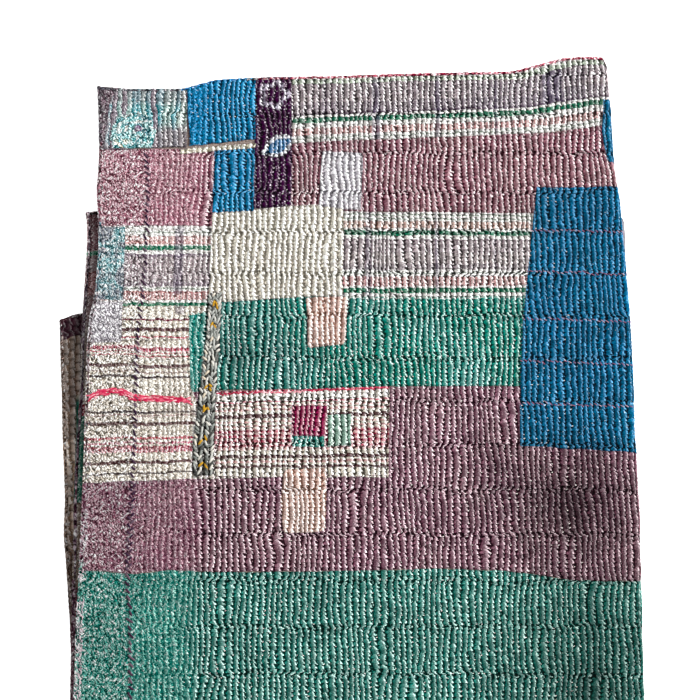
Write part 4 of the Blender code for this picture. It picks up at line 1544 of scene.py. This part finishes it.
@dataclass(frozen=True)
class Facing:
    """A stretch of a face that isn't on the page, between two places across and along."""

    name: str
    cloth: Cotton
    across: tuple[float, float]
    along: tuple[float, float]
    step: tuple[float, float]
    outer: bool = True  # whether it is on the outer face of the cloth
    relief: float = 1.2 * MM
    pinch: float = 0.3
    shift: float = 17.0 * MM  # of its ribs, so that layers differ
    rows_apart: float = 1.0  # share of the quilting's row
    painted_crease_shade: float = 0.0  # how dark the painted shade of a crease is at each row
    painted_light: float = 0.0  # painted light: how much lighter it is away from its first edge, against the shadow of the layers above
    crumpled: float = 0.5  # how crumpled, rather than ribbed

    def build(self, form: QuiltForm, quilting: Quilting) -> bpy.types.Object:
        """The stretch as a surface with the quilting's relief.

        Args:
            form: The quilt's folds.
            quilting: The quilting.

        Returns:
            The piece. Its map's second number is the share along the stretch, and the painted shade at each
            row is a narrow power of a cosine over the rows.
        """
        wide = abs(self.across[1] - self.across[0]) * form.outer_width
        tall = abs(self.along[1] - self.along[0]) * 0.8
        across = np.linspace(*self.across, max(3, round(wide / self.step[0])))
        along = np.linspace(*self.along, max(3, round(tall / self.step[1])))
        grid_across, grid_along = np.meshgrid(across, along)
        x = grid_across * form.outer_width + 0.25
        y = form.place(grid_across, grid_along, 0.0)[..., 1] + self.shift
        ribs, rows = quilting.ribs(x, y), quilting.rows(x, y)
        rows = rows / self.rows_apart + 0.22 * (np.floor(ribs) % 2) * self.painted_crease_shade
        crest = quilting.crest(ribs, rows, x, y, self.pinch)
        painted_crease_shade = self.painted_crease_shade * (0.5 + 0.5 * np.cos(2 * math.pi * rows)) ** 8
        height = form.sheet / 2 - (1.0 - crest) * self.relief
        points = form.place(grid_across, grid_along, height if self.outer else -height)
        share = (grid_along - self.along[0]) / (self.along[1] - self.along[0])
        even = np.ones_like(x)
        # edge paints shade at each row; shade paints light, rising away from the first edge
        values = {"rib": ribs, "row": rows, "jog": 0.0 * even, "edge": painted_crease_shade, "left": self.crumpled * even,
                  "shade": 1.0 + self.painted_light * ease((x - x.min() - 5 * MM) / (14 * MM))}
        uv = np.stack([x, share], axis=-1)
        return add_surface(self.name, points, uv, values, self.cloth, flip=self.outer)


FACINGS = (
    Facing("second_layer_edge", NEXT_CLOTH, (2.93, 3.0 - 0.0012), (2.0, 3.0 - 0.001), (1.6 * MM, 1.5 * MM),
          painted_light=0.7),
    Facing("third_layer_edge", LAST_CLOTH, (0.0012, 0.085), (2.0, 3.0 - 0.001), (1.6 * MM, 1.5 * MM),
          outer=False, relief=0.6 * MM, pinch=0.8, rows_apart=2.3, painted_crease_shade=2.0, painted_light=0.9,
          crumpled=0.15),
    Facing("lower_fold", LOW_FOLD_CLOTH, (0.975, 2.025), (2.0, 3.0 - 0.001), (26.0 * MM, 1.5 * MM)),
    Facing("inner_half_underside", UNDERSIDE_ROSE, (2.0, 3.0 - 0.0012), (0.001, 0.34),
          (3.8 * MM, 3.6 * MM), relief=0.3 * MM),
    Facing("underside", GREEN_LOW, (0.0012, 1.0), (1.98, 3.0 - 0.001), (4.0 * MM, 4.0 * MM),
          relief=0.3 * MM),
)


class Hem(Enum):
    """The quilt's four hems."""

    OUTER_SIDE = "outer_side_hem"
    INNER_SIDE = "inner_side_hem"
    UPPER_END = "upper_end_hem"
    LOWER_END = "lower_end_hem"


@dataclass(frozen=True)
class Hems:
    """The rolled hems: a half-round profile carried along each edge of the cloth."""

    form: QuiltForm
    inset: float = 4.5 * MM
    proud: float = 0.15 * MM
    pinch_every: float = 6.5 * MM
    step: float = 1.7 * MM
    side_length: float = 1.9
    end_length: float = 1.3
    pair_lengths: tuple[float, float] = (0.92, 0.73)  # of the upper pair and the lower one

    def build(self, hem: Hem, cloth: Cotton) -> bpy.types.Object:
        """One hem.

        Args:
            hem: Which one.
            cloth: Its finish.

        Returns:
            The piece. Its profile is half an ellipse, drawn in a little at each stitch.
        """
        form = self.form
        side = hem in (Hem.OUTER_SIDE, Hem.INNER_SIDE)
        length = self.side_length if side else self.end_length
        run = np.linspace(0.0, 3.0, round(length / self.step))
        angle = np.linspace(0.5, -0.5, 9) * math.pi
        grid_run, grid_angle = np.meshgrid(run, angle)
        place = grid_run * length / 3.0
        stray = SoftNoise(len(hem.value) * 7, 9.0 * MM).at(place, grid_angle * MM)
        drawn = 0.5 + 0.5 * np.cos(2 * math.pi * (place + 1.5 * MM * stray) / self.pinch_every)
        full = 1.0 - 0.16 * drawn**3 + 0.07 * stray
        inset = self.inset * (1.0 - np.cos(grid_angle) * full)
        lift = (form.sheet / 2 - 0.12 * MM + self.proud * full) * np.sin(grid_angle) * (0.9 + 0.1 * full)
        across = inset / form.outer_width if side else grid_run
        along = grid_run if side else inset / self.pair_lengths[0]
        if hem is Hem.INNER_SIDE:
            across = 3.0 - across
        if hem is Hem.LOWER_END:
            along = 3.0 - inset / self.pair_lengths[1]
        points = form.place(across, along, lift)
        share = grid_run / 3.0
        even = np.ones_like(share)
        # painted shade where the hem is drawn in at each stitch: edge and shade both darken there
        values = {"rib": 0.5 * even, "row": place / self.pinch_every + 0.2 * stray, "jog": 0.0 * even,
                  "edge": 0.3 * drawn**3, "left": even, "shade": 1.0 - 0.4 * drawn**3}
        uv = np.stack([grid_angle * 2 * MM, share], axis=-1)
        flip = hem in (Hem.OUTER_SIDE, Hem.LOWER_END)
        return add_surface(hem.value, points, uv, values, cloth, flip=flip)


HEM_CLOTHS = {
    Hem.OUTER_SIDE: SIDE_HEM_BANDS, Hem.INNER_SIDE: SIDE_HEM_CLOTH,
    Hem.UPPER_END: UPPER_HEM_CLOTH, Hem.LOWER_END: LOW_HEM_CLOTH,
}


# -------- sewing


@dataclass(frozen=True)
class Sewing:
    """Stitches laid on the cloth: each is a short half-round of thread with its ends sunk in."""

    patchwork: Patchwork
    seed: int = 5

    @property
    def form(self) -> QuiltForm:
        """The quilt's folds."""
        return self.patchwork.form

    def chance(self, kind: int = 0) -> np.random.Generator:
        """The random numbers of one kind of sewing."""
        return np.random.default_rng(self.seed + kind)

    def stitches(
        self, name: str, x: Array, y: Array, slant: Array, length: Array, radius: float,
        lift: Array, finish: Thread, arch: float = 0.5, pick: Array | None = None,
    ) -> bpy.types.Object:
        """Short stitches at page points.

        Args:
            name: The piece's name.
            x, y: Page places of the middles.
            slant: The direction of each on the page, in radians from the x axis.
            length: The length of each.
            radius: Half the thread's thickness.
            lift: Height of each middle from the crests' level.
            finish: The thread.
            arch: How far the ends are sunk below the middle, in millimetres.
            pick: A number from 0 to 1 for each stitch's colour, else random.

        Returns:
            The piece. Four stations along each stitch carry three points over its back.
        """
        rng = self.chance(len(x))
        at = np.array([-0.5, -0.28, 0.28, 0.5])
        wide = np.array([0.55, 1.0, 1.0, 0.55]) * radius
        sunk = np.array([1.0, 0.12, 0.12, 1.0]) * arch * MM
        turn = np.array([-1.0, 0.0, 1.0])
        cos, sin = np.cos(slant)[:, None, None], np.sin(slant)[:, None, None]
        run = at[None, :, None] * length[:, None, None]
        off = turn[None, None, :] * wide[None, :, None] * 1.15
        px = x[:, None, None] + run * cos - off * sin
        py = y[:, None, None] + run * sin + off * cos
        back = wide[None, :, None] * (np.cos(turn * 1.3) - 0.27)[None, None, :] * 1.6
        points = self.form.on_page(px, py, lift[:, None, None] - sunk[None, :, None] + back).reshape(-1, 3)
        stations, backs = len(at), len(turn)
        one = np.arange(stations - 1)[:, None] * backs + np.arange(backs - 1)
        one = np.stack([one, one + backs, one + backs + 1, one + 1], axis=-1).reshape(-1, 4)
        quads = (np.arange(len(x)) * stations * backs)[:, None, None] + one[None]
        pick = rng.uniform(0, 1, len(x)) if pick is None else pick
        uv = np.stack(np.broadcast_arrays(pick[:, None, None], run, px)[:2], axis=-1).reshape(-1, 2)
        return add_mesh(name, points, quads.reshape(-1, 4), uv, {}, finish)

    def in_valleys(self) -> bpy.types.Object:
        """The running stitches, which show in the valleys at each row.

        Returns:
            The piece. A valley's x at a row is found by a few rounds from its number. Most
            stitches are left out at random, as hidden or rubbed away.
        """
        quilting, rng = self.patchwork.quilting, self.chance()
        numbers = np.arange(2, 96)
        rows = quilting.first_row + np.arange(-64, 99) * quilting.row
        number, y = (part.reshape(-1).astype(float) for part in np.meshgrid(numbers, rows))
        x = quilting.left + number * quilting.pitch
        for _ in range(12):
            x = x + (number - quilting.ribs(x, y)) * quilting.fine_pitch * 0.7
        across, _ = self.form.locate(x, y)
        inside = (x > -0.296) & (across < 1.3) & (y < self.form.hem(across, Half.UPPER) - 0.006)
        inside &= rng.uniform(0, 1, len(x)) < 0.14 + 0.14 * SoftNoise(48, 24.0 * MM).at(x, y)
        x, y = x[inside], y[inside]
        level = self.patchwork.level_at(x, y)
        lift = level + quilting.swell(x, y) - quilting.depth(x) + rng.uniform(0.25, 0.65, len(x)) * MM
        slant = rng.normal(0.15, 0.30, len(x))
        length = rng.uniform(1.9, 3.1, len(x)) * MM
        return self.stitches("running_stitches", x, y, slant, length, 0.30 * MM, lift, PALE_THREAD)

    def on_path(self, path: tuple[tuple[float, float], ...], every: float) -> tuple[Array, Array, Array]:
        """Evenly spaced page points on a path.

        Args:
            path: Its corners in millimetres.
            every: The distance between two points.

        Returns:
            (x, y, direction): the direction is that from 4 mm behind to 4 mm ahead.
        """
        corners = np.array(path, dtype=float) * MM
        place = np.concatenate([[0.0], np.cumsum(np.hypot(*np.diff(corners, axis=0).T))])
        at = np.arange(every / 2, place[-1], every)
        behind, here, ahead = (
            np.stack([np.interp(np.clip(at + by, 0, place[-1]), place, corners[:, k]) for k in (0, 1)])
            for by in (-4 * MM, 0.0, 4 * MM)
        )
        return here[0], here[1], np.arctan2(ahead[1] - behind[1], ahead[0] - behind[0])

    def surface_lift(self, x: Array, y: Array) -> Array:
        """The height of the cloth's own relief.

        Args:
            x, y: Page places.

        Returns:
            Metres from the bands' crests: the ribs, the broad swell and the patches' level.
        """
        quilting = self.patchwork.quilting
        ribs, rows = quilting.ribs(x, y), quilting.rows(x, y)
        relief = (quilting.crest(ribs, rows, x, y) - 1.0) * quilting.depth(x)
        return relief + quilting.swell(x, y) + self.patchwork.level_at(x, y)

    def dark_seam(self) -> bpy.types.Object:
        """The long seam of slanted dark stitches down the left side.

        Returns:
            The piece: crossed by a second row on one stretch.
        """
        path = ((-245, 350), (-241, 320), (-238, 272), (-240, 190), (-244, 140), (-246, 110), (-245, 37),
                (-245, -50), (-247, -150), (-245, -176), (-242, -230), (-239, -285), (-240, -440))
        x, y, _ = self.on_path(path, 4.1 * MM)
        rng = self.chance(2)
        crossed = (y > -0.155) & (y < -0.055)
        back = np.arange(len(x)) % 2 == 1
        keep = crossed | ~back
        x = x + np.where(crossed, np.where(back, 1.7, -1.9), rng.normal(0.0, 0.9, len(x))) * MM
        slant = np.radians(np.where(crossed & back, 44.0, -50.0) + rng.normal(0.0, 9.0, len(x)))
        length = np.where(crossed, rng.uniform(4.6, 6.4, len(x)), rng.uniform(6.0, 10.0, len(x))) * MM
        x, y, slant, length = x[keep], y[keep], slant[keep], length[keep]
        lift = self.surface_lift(x, y) * 0.4 + 0.6 * MM
        return self.stitches("dark_seam", x, y, slant, length, 1.0 * MM, lift, DARK_THREAD)

    def plait(self) -> bpy.types.Object:
        """The narrow strip of coarse yarn.

        Returns:
            The piece: four lanes of thick loops, slanting to and fro by turns, gold at six places.
        """
        rng = self.chance(8)
        strip = next(panel for panel in self.patchwork.panels if panel.name == "braided_strip")
        count = 48
        lane, place = (part.reshape(-1) for part in np.meshgrid(np.arange(4), np.arange(count)))
        share_x = (lane + 0.5) / 4 + rng.normal(0.0, 0.025, len(lane))
        share_y = (place + 0.5 + 0.5 * (lane % 2) + rng.normal(0.0, 0.14, len(lane))) / (count + 0.6)
        x, y = strip.grid(self.form, share_x, np.clip(share_y, 0.01, 0.99))
        slant = np.radians(np.where(lane % 2 == 0, 118.0, 62.0) + rng.normal(0.0, 15.0, len(lane)))
        length = rng.uniform(5.6, 8.6, len(lane)) * MM
        lift = self.patchwork.level_at(x, y) + rng.uniform(-0.1, 0.7, len(lane)) * MM
        golden = np.array([0.05, 0.19, 0.36, 0.47, 0.82, 0.93])
        gold = np.exp(-(((share_y[:, None] - golden) / 0.018) ** 2)).sum(1)
        pick = np.where((gold > 0.5) & (lane > 0) & (lane < 3), 1.0, rng.uniform(0.0, 0.84, len(lane)))
        return self.stitches("plaited_yarn", x, y, slant, length, 1.1 * MM, lift, YARN, 0.9, pick)

    def red_cord(self) -> bpy.types.Object:
        """The wavy red strands across the red-striped panel.

        Returns:
            The piece: long stitches scattered along a path.
        """
        path = ((-299, 45), (-289, 51), (-272, 54), (-260, 52), (-247, 46), (-227, 45), (-203, 44),
                (-182, 42))
        x, y, turn = self.on_path(path, 0.75 * MM)
        rng = self.chance(9)
        wide = np.interp(x, np.array([-0.30, -0.27, -0.247, -0.18]), np.array([4.6, 2.6, 3.4, 2.6])) * MM
        y = y + rng.uniform(-1.0, 1.0, len(y)) * wide
        slant = turn + rng.normal(0.0, 0.28, len(x))
        length = rng.uniform(5.0, 11.0, len(x)) * MM
        lift = self.surface_lift(x, y) * 0.3 + 0.45 * MM
        return self.stitches("red_cord", x, y, slant, length, 0.8 * MM, lift, RED_THREAD)

    def crimson_edge(self) -> bpy.types.Object:
        """The broken crimson line along the top of the right red-striped panel.

        Returns:
            The piece: paler where the line is broken.
        """
        path = ((-150, 50), (-134, 50.5), (-85, 52.5), (-52, 53.5), (-10, 56), (51, 57.5))
        x, y, turn = self.on_path(path, 2.1 * MM)
        rng = self.chance(10)
        places = (-166, -112, -96, -45, -36, -8, 4, 51)
        strong = np.interp(x / MM, places, (0.2, 0.1, 0.85, 0.9, 0.1, 0.2, 0.6, 0.5))
        y = y + rng.uniform(-1.6, 1.0, len(y)) * MM
        slant = turn + rng.normal(0.0, 0.3, len(x))
        length = rng.uniform(2.2, 4.6, len(x)) * MM
        pick = np.clip(strong + rng.normal(0.0, 0.12, len(x)), 0.0, 1.0)
        lift = self.surface_lift(x, y) * 0.9 + 0.1 * MM
        return self.stitches("crimson_edge", x, y, slant, length, 0.62 * MM, lift, RED_THREAD, pick=pick)

    def frayed_hem(self) -> bpy.types.Object:
        """Worn white and grey thread ends along the left side hem.

        Returns:
            The piece: close on the lower part, sparse above it.
        """
        rng = self.chance(11)
        stretches = ((-465, -186, 420), (-165, -85, 90), (-60, 430, 110))
        y = np.concatenate([rng.uniform(low, high, count) for low, high, count in stretches]) * MM
        x = self.form.edge("side", y) + rng.uniform(0.6, 8.5, len(y)) * MM
        slant = np.radians(rng.normal(-60.0, 35.0, len(y)))
        length = rng.uniform(2.0, 5.0, len(y)) * MM
        lift = self.surface_lift(x, y) * 0.4 + rng.uniform(0.1, 0.5, len(y)) * MM
        return self.stitches("frayed_hem", x, y, slant, length, 0.42 * MM, lift, FRAYED_THREAD)

    def pink_rows(self) -> bpy.types.Object:
        """The rows of slanted pink stitches across the big blue patch.

        Returns:
            The piece: each row starts at a height and a left end, and sinks a little.
        """
        rng = self.chance(3)
        x, y = [], []
        for height, left in ((251, 226), (199, 219), (141, 213), (90, 209), (40, 206)):
            across = np.arange(left, 345, 5.2)
            x.append(across)
            y.append(height - 0.04 * (across - left) + rng.normal(0, 0.7, len(across)))
        px, py = np.concatenate(x) * MM, np.concatenate(y) * MM
        slant = np.radians(rng.normal(-32.0, 9.0, len(px)))
        length = rng.uniform(3.6, 6.0, len(px)) * MM
        lift = self.surface_lift(px, py) * 0.35 + 0.55 * MM
        return self.stitches("pink_stitch_rows", px, py, slant, length, 0.36 * MM, lift, PINK_THREAD)

    def patch_edges(self) -> bpy.types.Object:
        """Small stitches over the edges of the patches.

        Returns:
            The piece, along the turned sides of each patch's own grid.
        """
        rng = self.chance(4)
        parts = []
        for panel in (panel for panel in self.patchwork.panels if panel.level >= 0.2):
            wide, tall = (np.ptp(side) for side in panel.box(self.form))
            for side in (side for side in "lrbt" if side in panel.tucked):
                upright = side in "lr"
                count = max(3, round((tall if upright else wide) / (5.4 * MM)))
                run = (np.arange(count) + 0.5) / count
                edge = np.full(count, 0.0 if side in "lb" else 1.0)
                x, y = panel.grid(self.form, *((edge, run) if upright else (run, edge)))
                parts.append(np.stack([x, y, np.full(count, 0.0 if upright else math.pi / 2)]))
        x, y, turn = np.concatenate(parts, axis=1)
        keep = rng.uniform(0, 1, len(x)) < 0.8
        x, y, turn = x[keep], y[keep], turn[keep]
        slant = turn + rng.normal(0.35, 0.35, len(x))
        length = rng.uniform(2.0, 3.6, len(x)) * MM
        lift = self.surface_lift(x, y) * 0.7 + 0.1 * MM
        return self.stitches("patch_stitches", x, y, slant, length, 0.27 * MM, lift, DARK_THREAD)

    def top_hem_line(self) -> bpy.types.Object:
        """The pink and red stitches just below the top hem.

        Returns:
            The piece: even steps along the hem, straying up and down.
        """
        rng = self.chance(6)
        x = np.arange(-60, 330, 3.1) * MM
        across, _ = self.form.locate(x, np.full_like(x, 0.45))
        y = self.form.hem(across, Half.UPPER) - rng.uniform(1.6, 4.0, len(x)) * MM
        slant = rng.normal(0.1, 0.35, len(x))
        length = rng.uniform(2.0, 4.0, len(x)) * MM
        lift = self.surface_lift(x, y) * 0.6 + 0.25 * MM
        return self.stitches("top_hem_stitches", x, y, slant, length, 0.33 * MM, lift, RED_THREAD)

    def build_all(self) -> list[bpy.types.Object]:
        """Every kind of sewing."""
        return [self.in_valleys(), self.dark_seam(), self.plait(), self.red_cord(), self.crimson_edge(),
                self.frayed_hem(), self.pink_rows(), self.patch_edges(), self.top_hem_line()]


# -------- studio


@dataclass(frozen=True)
class Studio:
    """The pale floor, the soft light and the camera at the photograph's angle."""

    aim: tuple[float, float, float] = (0.0065, 0.103, 0.019)
    tilt: float = 10.0  # degrees from straight above
    far: float = 1.30
    lens: float = 56.4
    sensor: float = 36.0
    half_floor: float = 6.0
    floor_drop: float = 0.3 * MM
    surround: float = 0.20

    def floor(self) -> None:
        """A plain pale floor, not attached to the quilt."""
        corners = np.array([[-1, -1, 0], [1, -1, 0], [-1, 1, 0], [1, 1, 0]]) * self.half_floor
        points = corners - np.array([0.0, 0.0, self.floor_drop])
        floor = add_mesh("floor", points, np.array([[0, 1, 3, 2]]), points[:, :2], {})
        nodes = Nodes("pale_floor", 0.9)
        nodes.shader.inputs["Base Color"].default_value = (0.95, 0.95, 0.95, 1.0)
        nodes.shader.inputs["Emission Color"].default_value = (1.0, 1.0, 1.0, 1.0)
        nodes.shader.inputs["Emission Strength"].default_value = 0.85
        floor.data.materials.append(nodes.material)

    def light(self, name: str, place: tuple[float, float, float], size: float, power: float) -> None:
        """One soft square light, turned towards the quilt's middle.

        Args:
            name: Its name.
            place: Where it stands, in metres.
            size: The length of its side.
            power: Its power in watts.
        """
        data = bpy.data.lights.new(name, "AREA")
        data.size, data.energy = size, power
        lamp = bpy.data.objects.new(name, data)
        lamp.location = place
        towards = Vector((0.0, 0.05, 0.0)) - Vector(place)
        lamp.rotation_euler = towards.to_track_quat("-Z", "Y").to_euler()
        bpy.context.scene.collection.objects.link(lamp)

    def camera(self) -> None:
        """The camera, tilted from straight above the point that it aims at."""
        data = bpy.data.cameras.new("camera")
        data.lens, data.sensor_width = self.lens, self.sensor
        camera = bpy.data.objects.new("camera", data)
        turn = math.radians(self.tilt)
        camera.location = Vector(self.aim) - Vector((0.0, math.sin(turn), -math.cos(turn))) * self.far
        camera.rotation_euler = (turn, 0.0, 0.0)
        bpy.context.scene.collection.objects.link(camera)
        bpy.context.scene.camera = camera

    def build(self) -> None:
        """Floor, lights, white surround and camera."""
        self.floor()
        self.light("key_light", (4.1, 1.0, 3.2), 1.1, 560.0)
        self.light("fill_light", (-1.4, 0.9, 2.6), 2.0, 26.0)
        world = bpy.data.worlds.new("surround")
        world.use_nodes = True
        background = world.node_tree.nodes["Background"]
        background.inputs["Color"].default_value = (1.0, 1.0, 1.0, 1.0)
        background.inputs["Strength"].default_value = self.surround
        bpy.context.scene.world = world
        bpy.context.scene.view_settings.view_transform = "Standard"
        self.camera()


def main() -> None:
    """Builds the quilt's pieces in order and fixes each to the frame."""
    logging.basicConfig(level=logging.INFO, format="%(name)s: %(message)s")
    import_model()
    form, quilting = QuiltForm(), Quilting()
    core = CoreCloth(form).build()
    patchwork = Patchwork(form, quilting, FRONT)
    pieces = patchwork.build_all()
    pieces += [facing.build(form, quilting) for facing in FACINGS]
    hems = Hems(form)
    pieces += [hems.build(hem, cloth) for hem, cloth in HEM_CLOTHS.items()]
    pieces += Sewing(patchwork).build_all()
    for piece in [core, *pieces]:
        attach(piece, "root")
        log.info("%s: %d faces", piece.name, len(piece.data.polygons))
    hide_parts("quilt")
    Studio().build()
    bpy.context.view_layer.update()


if __name__ == "__main__":
    main()
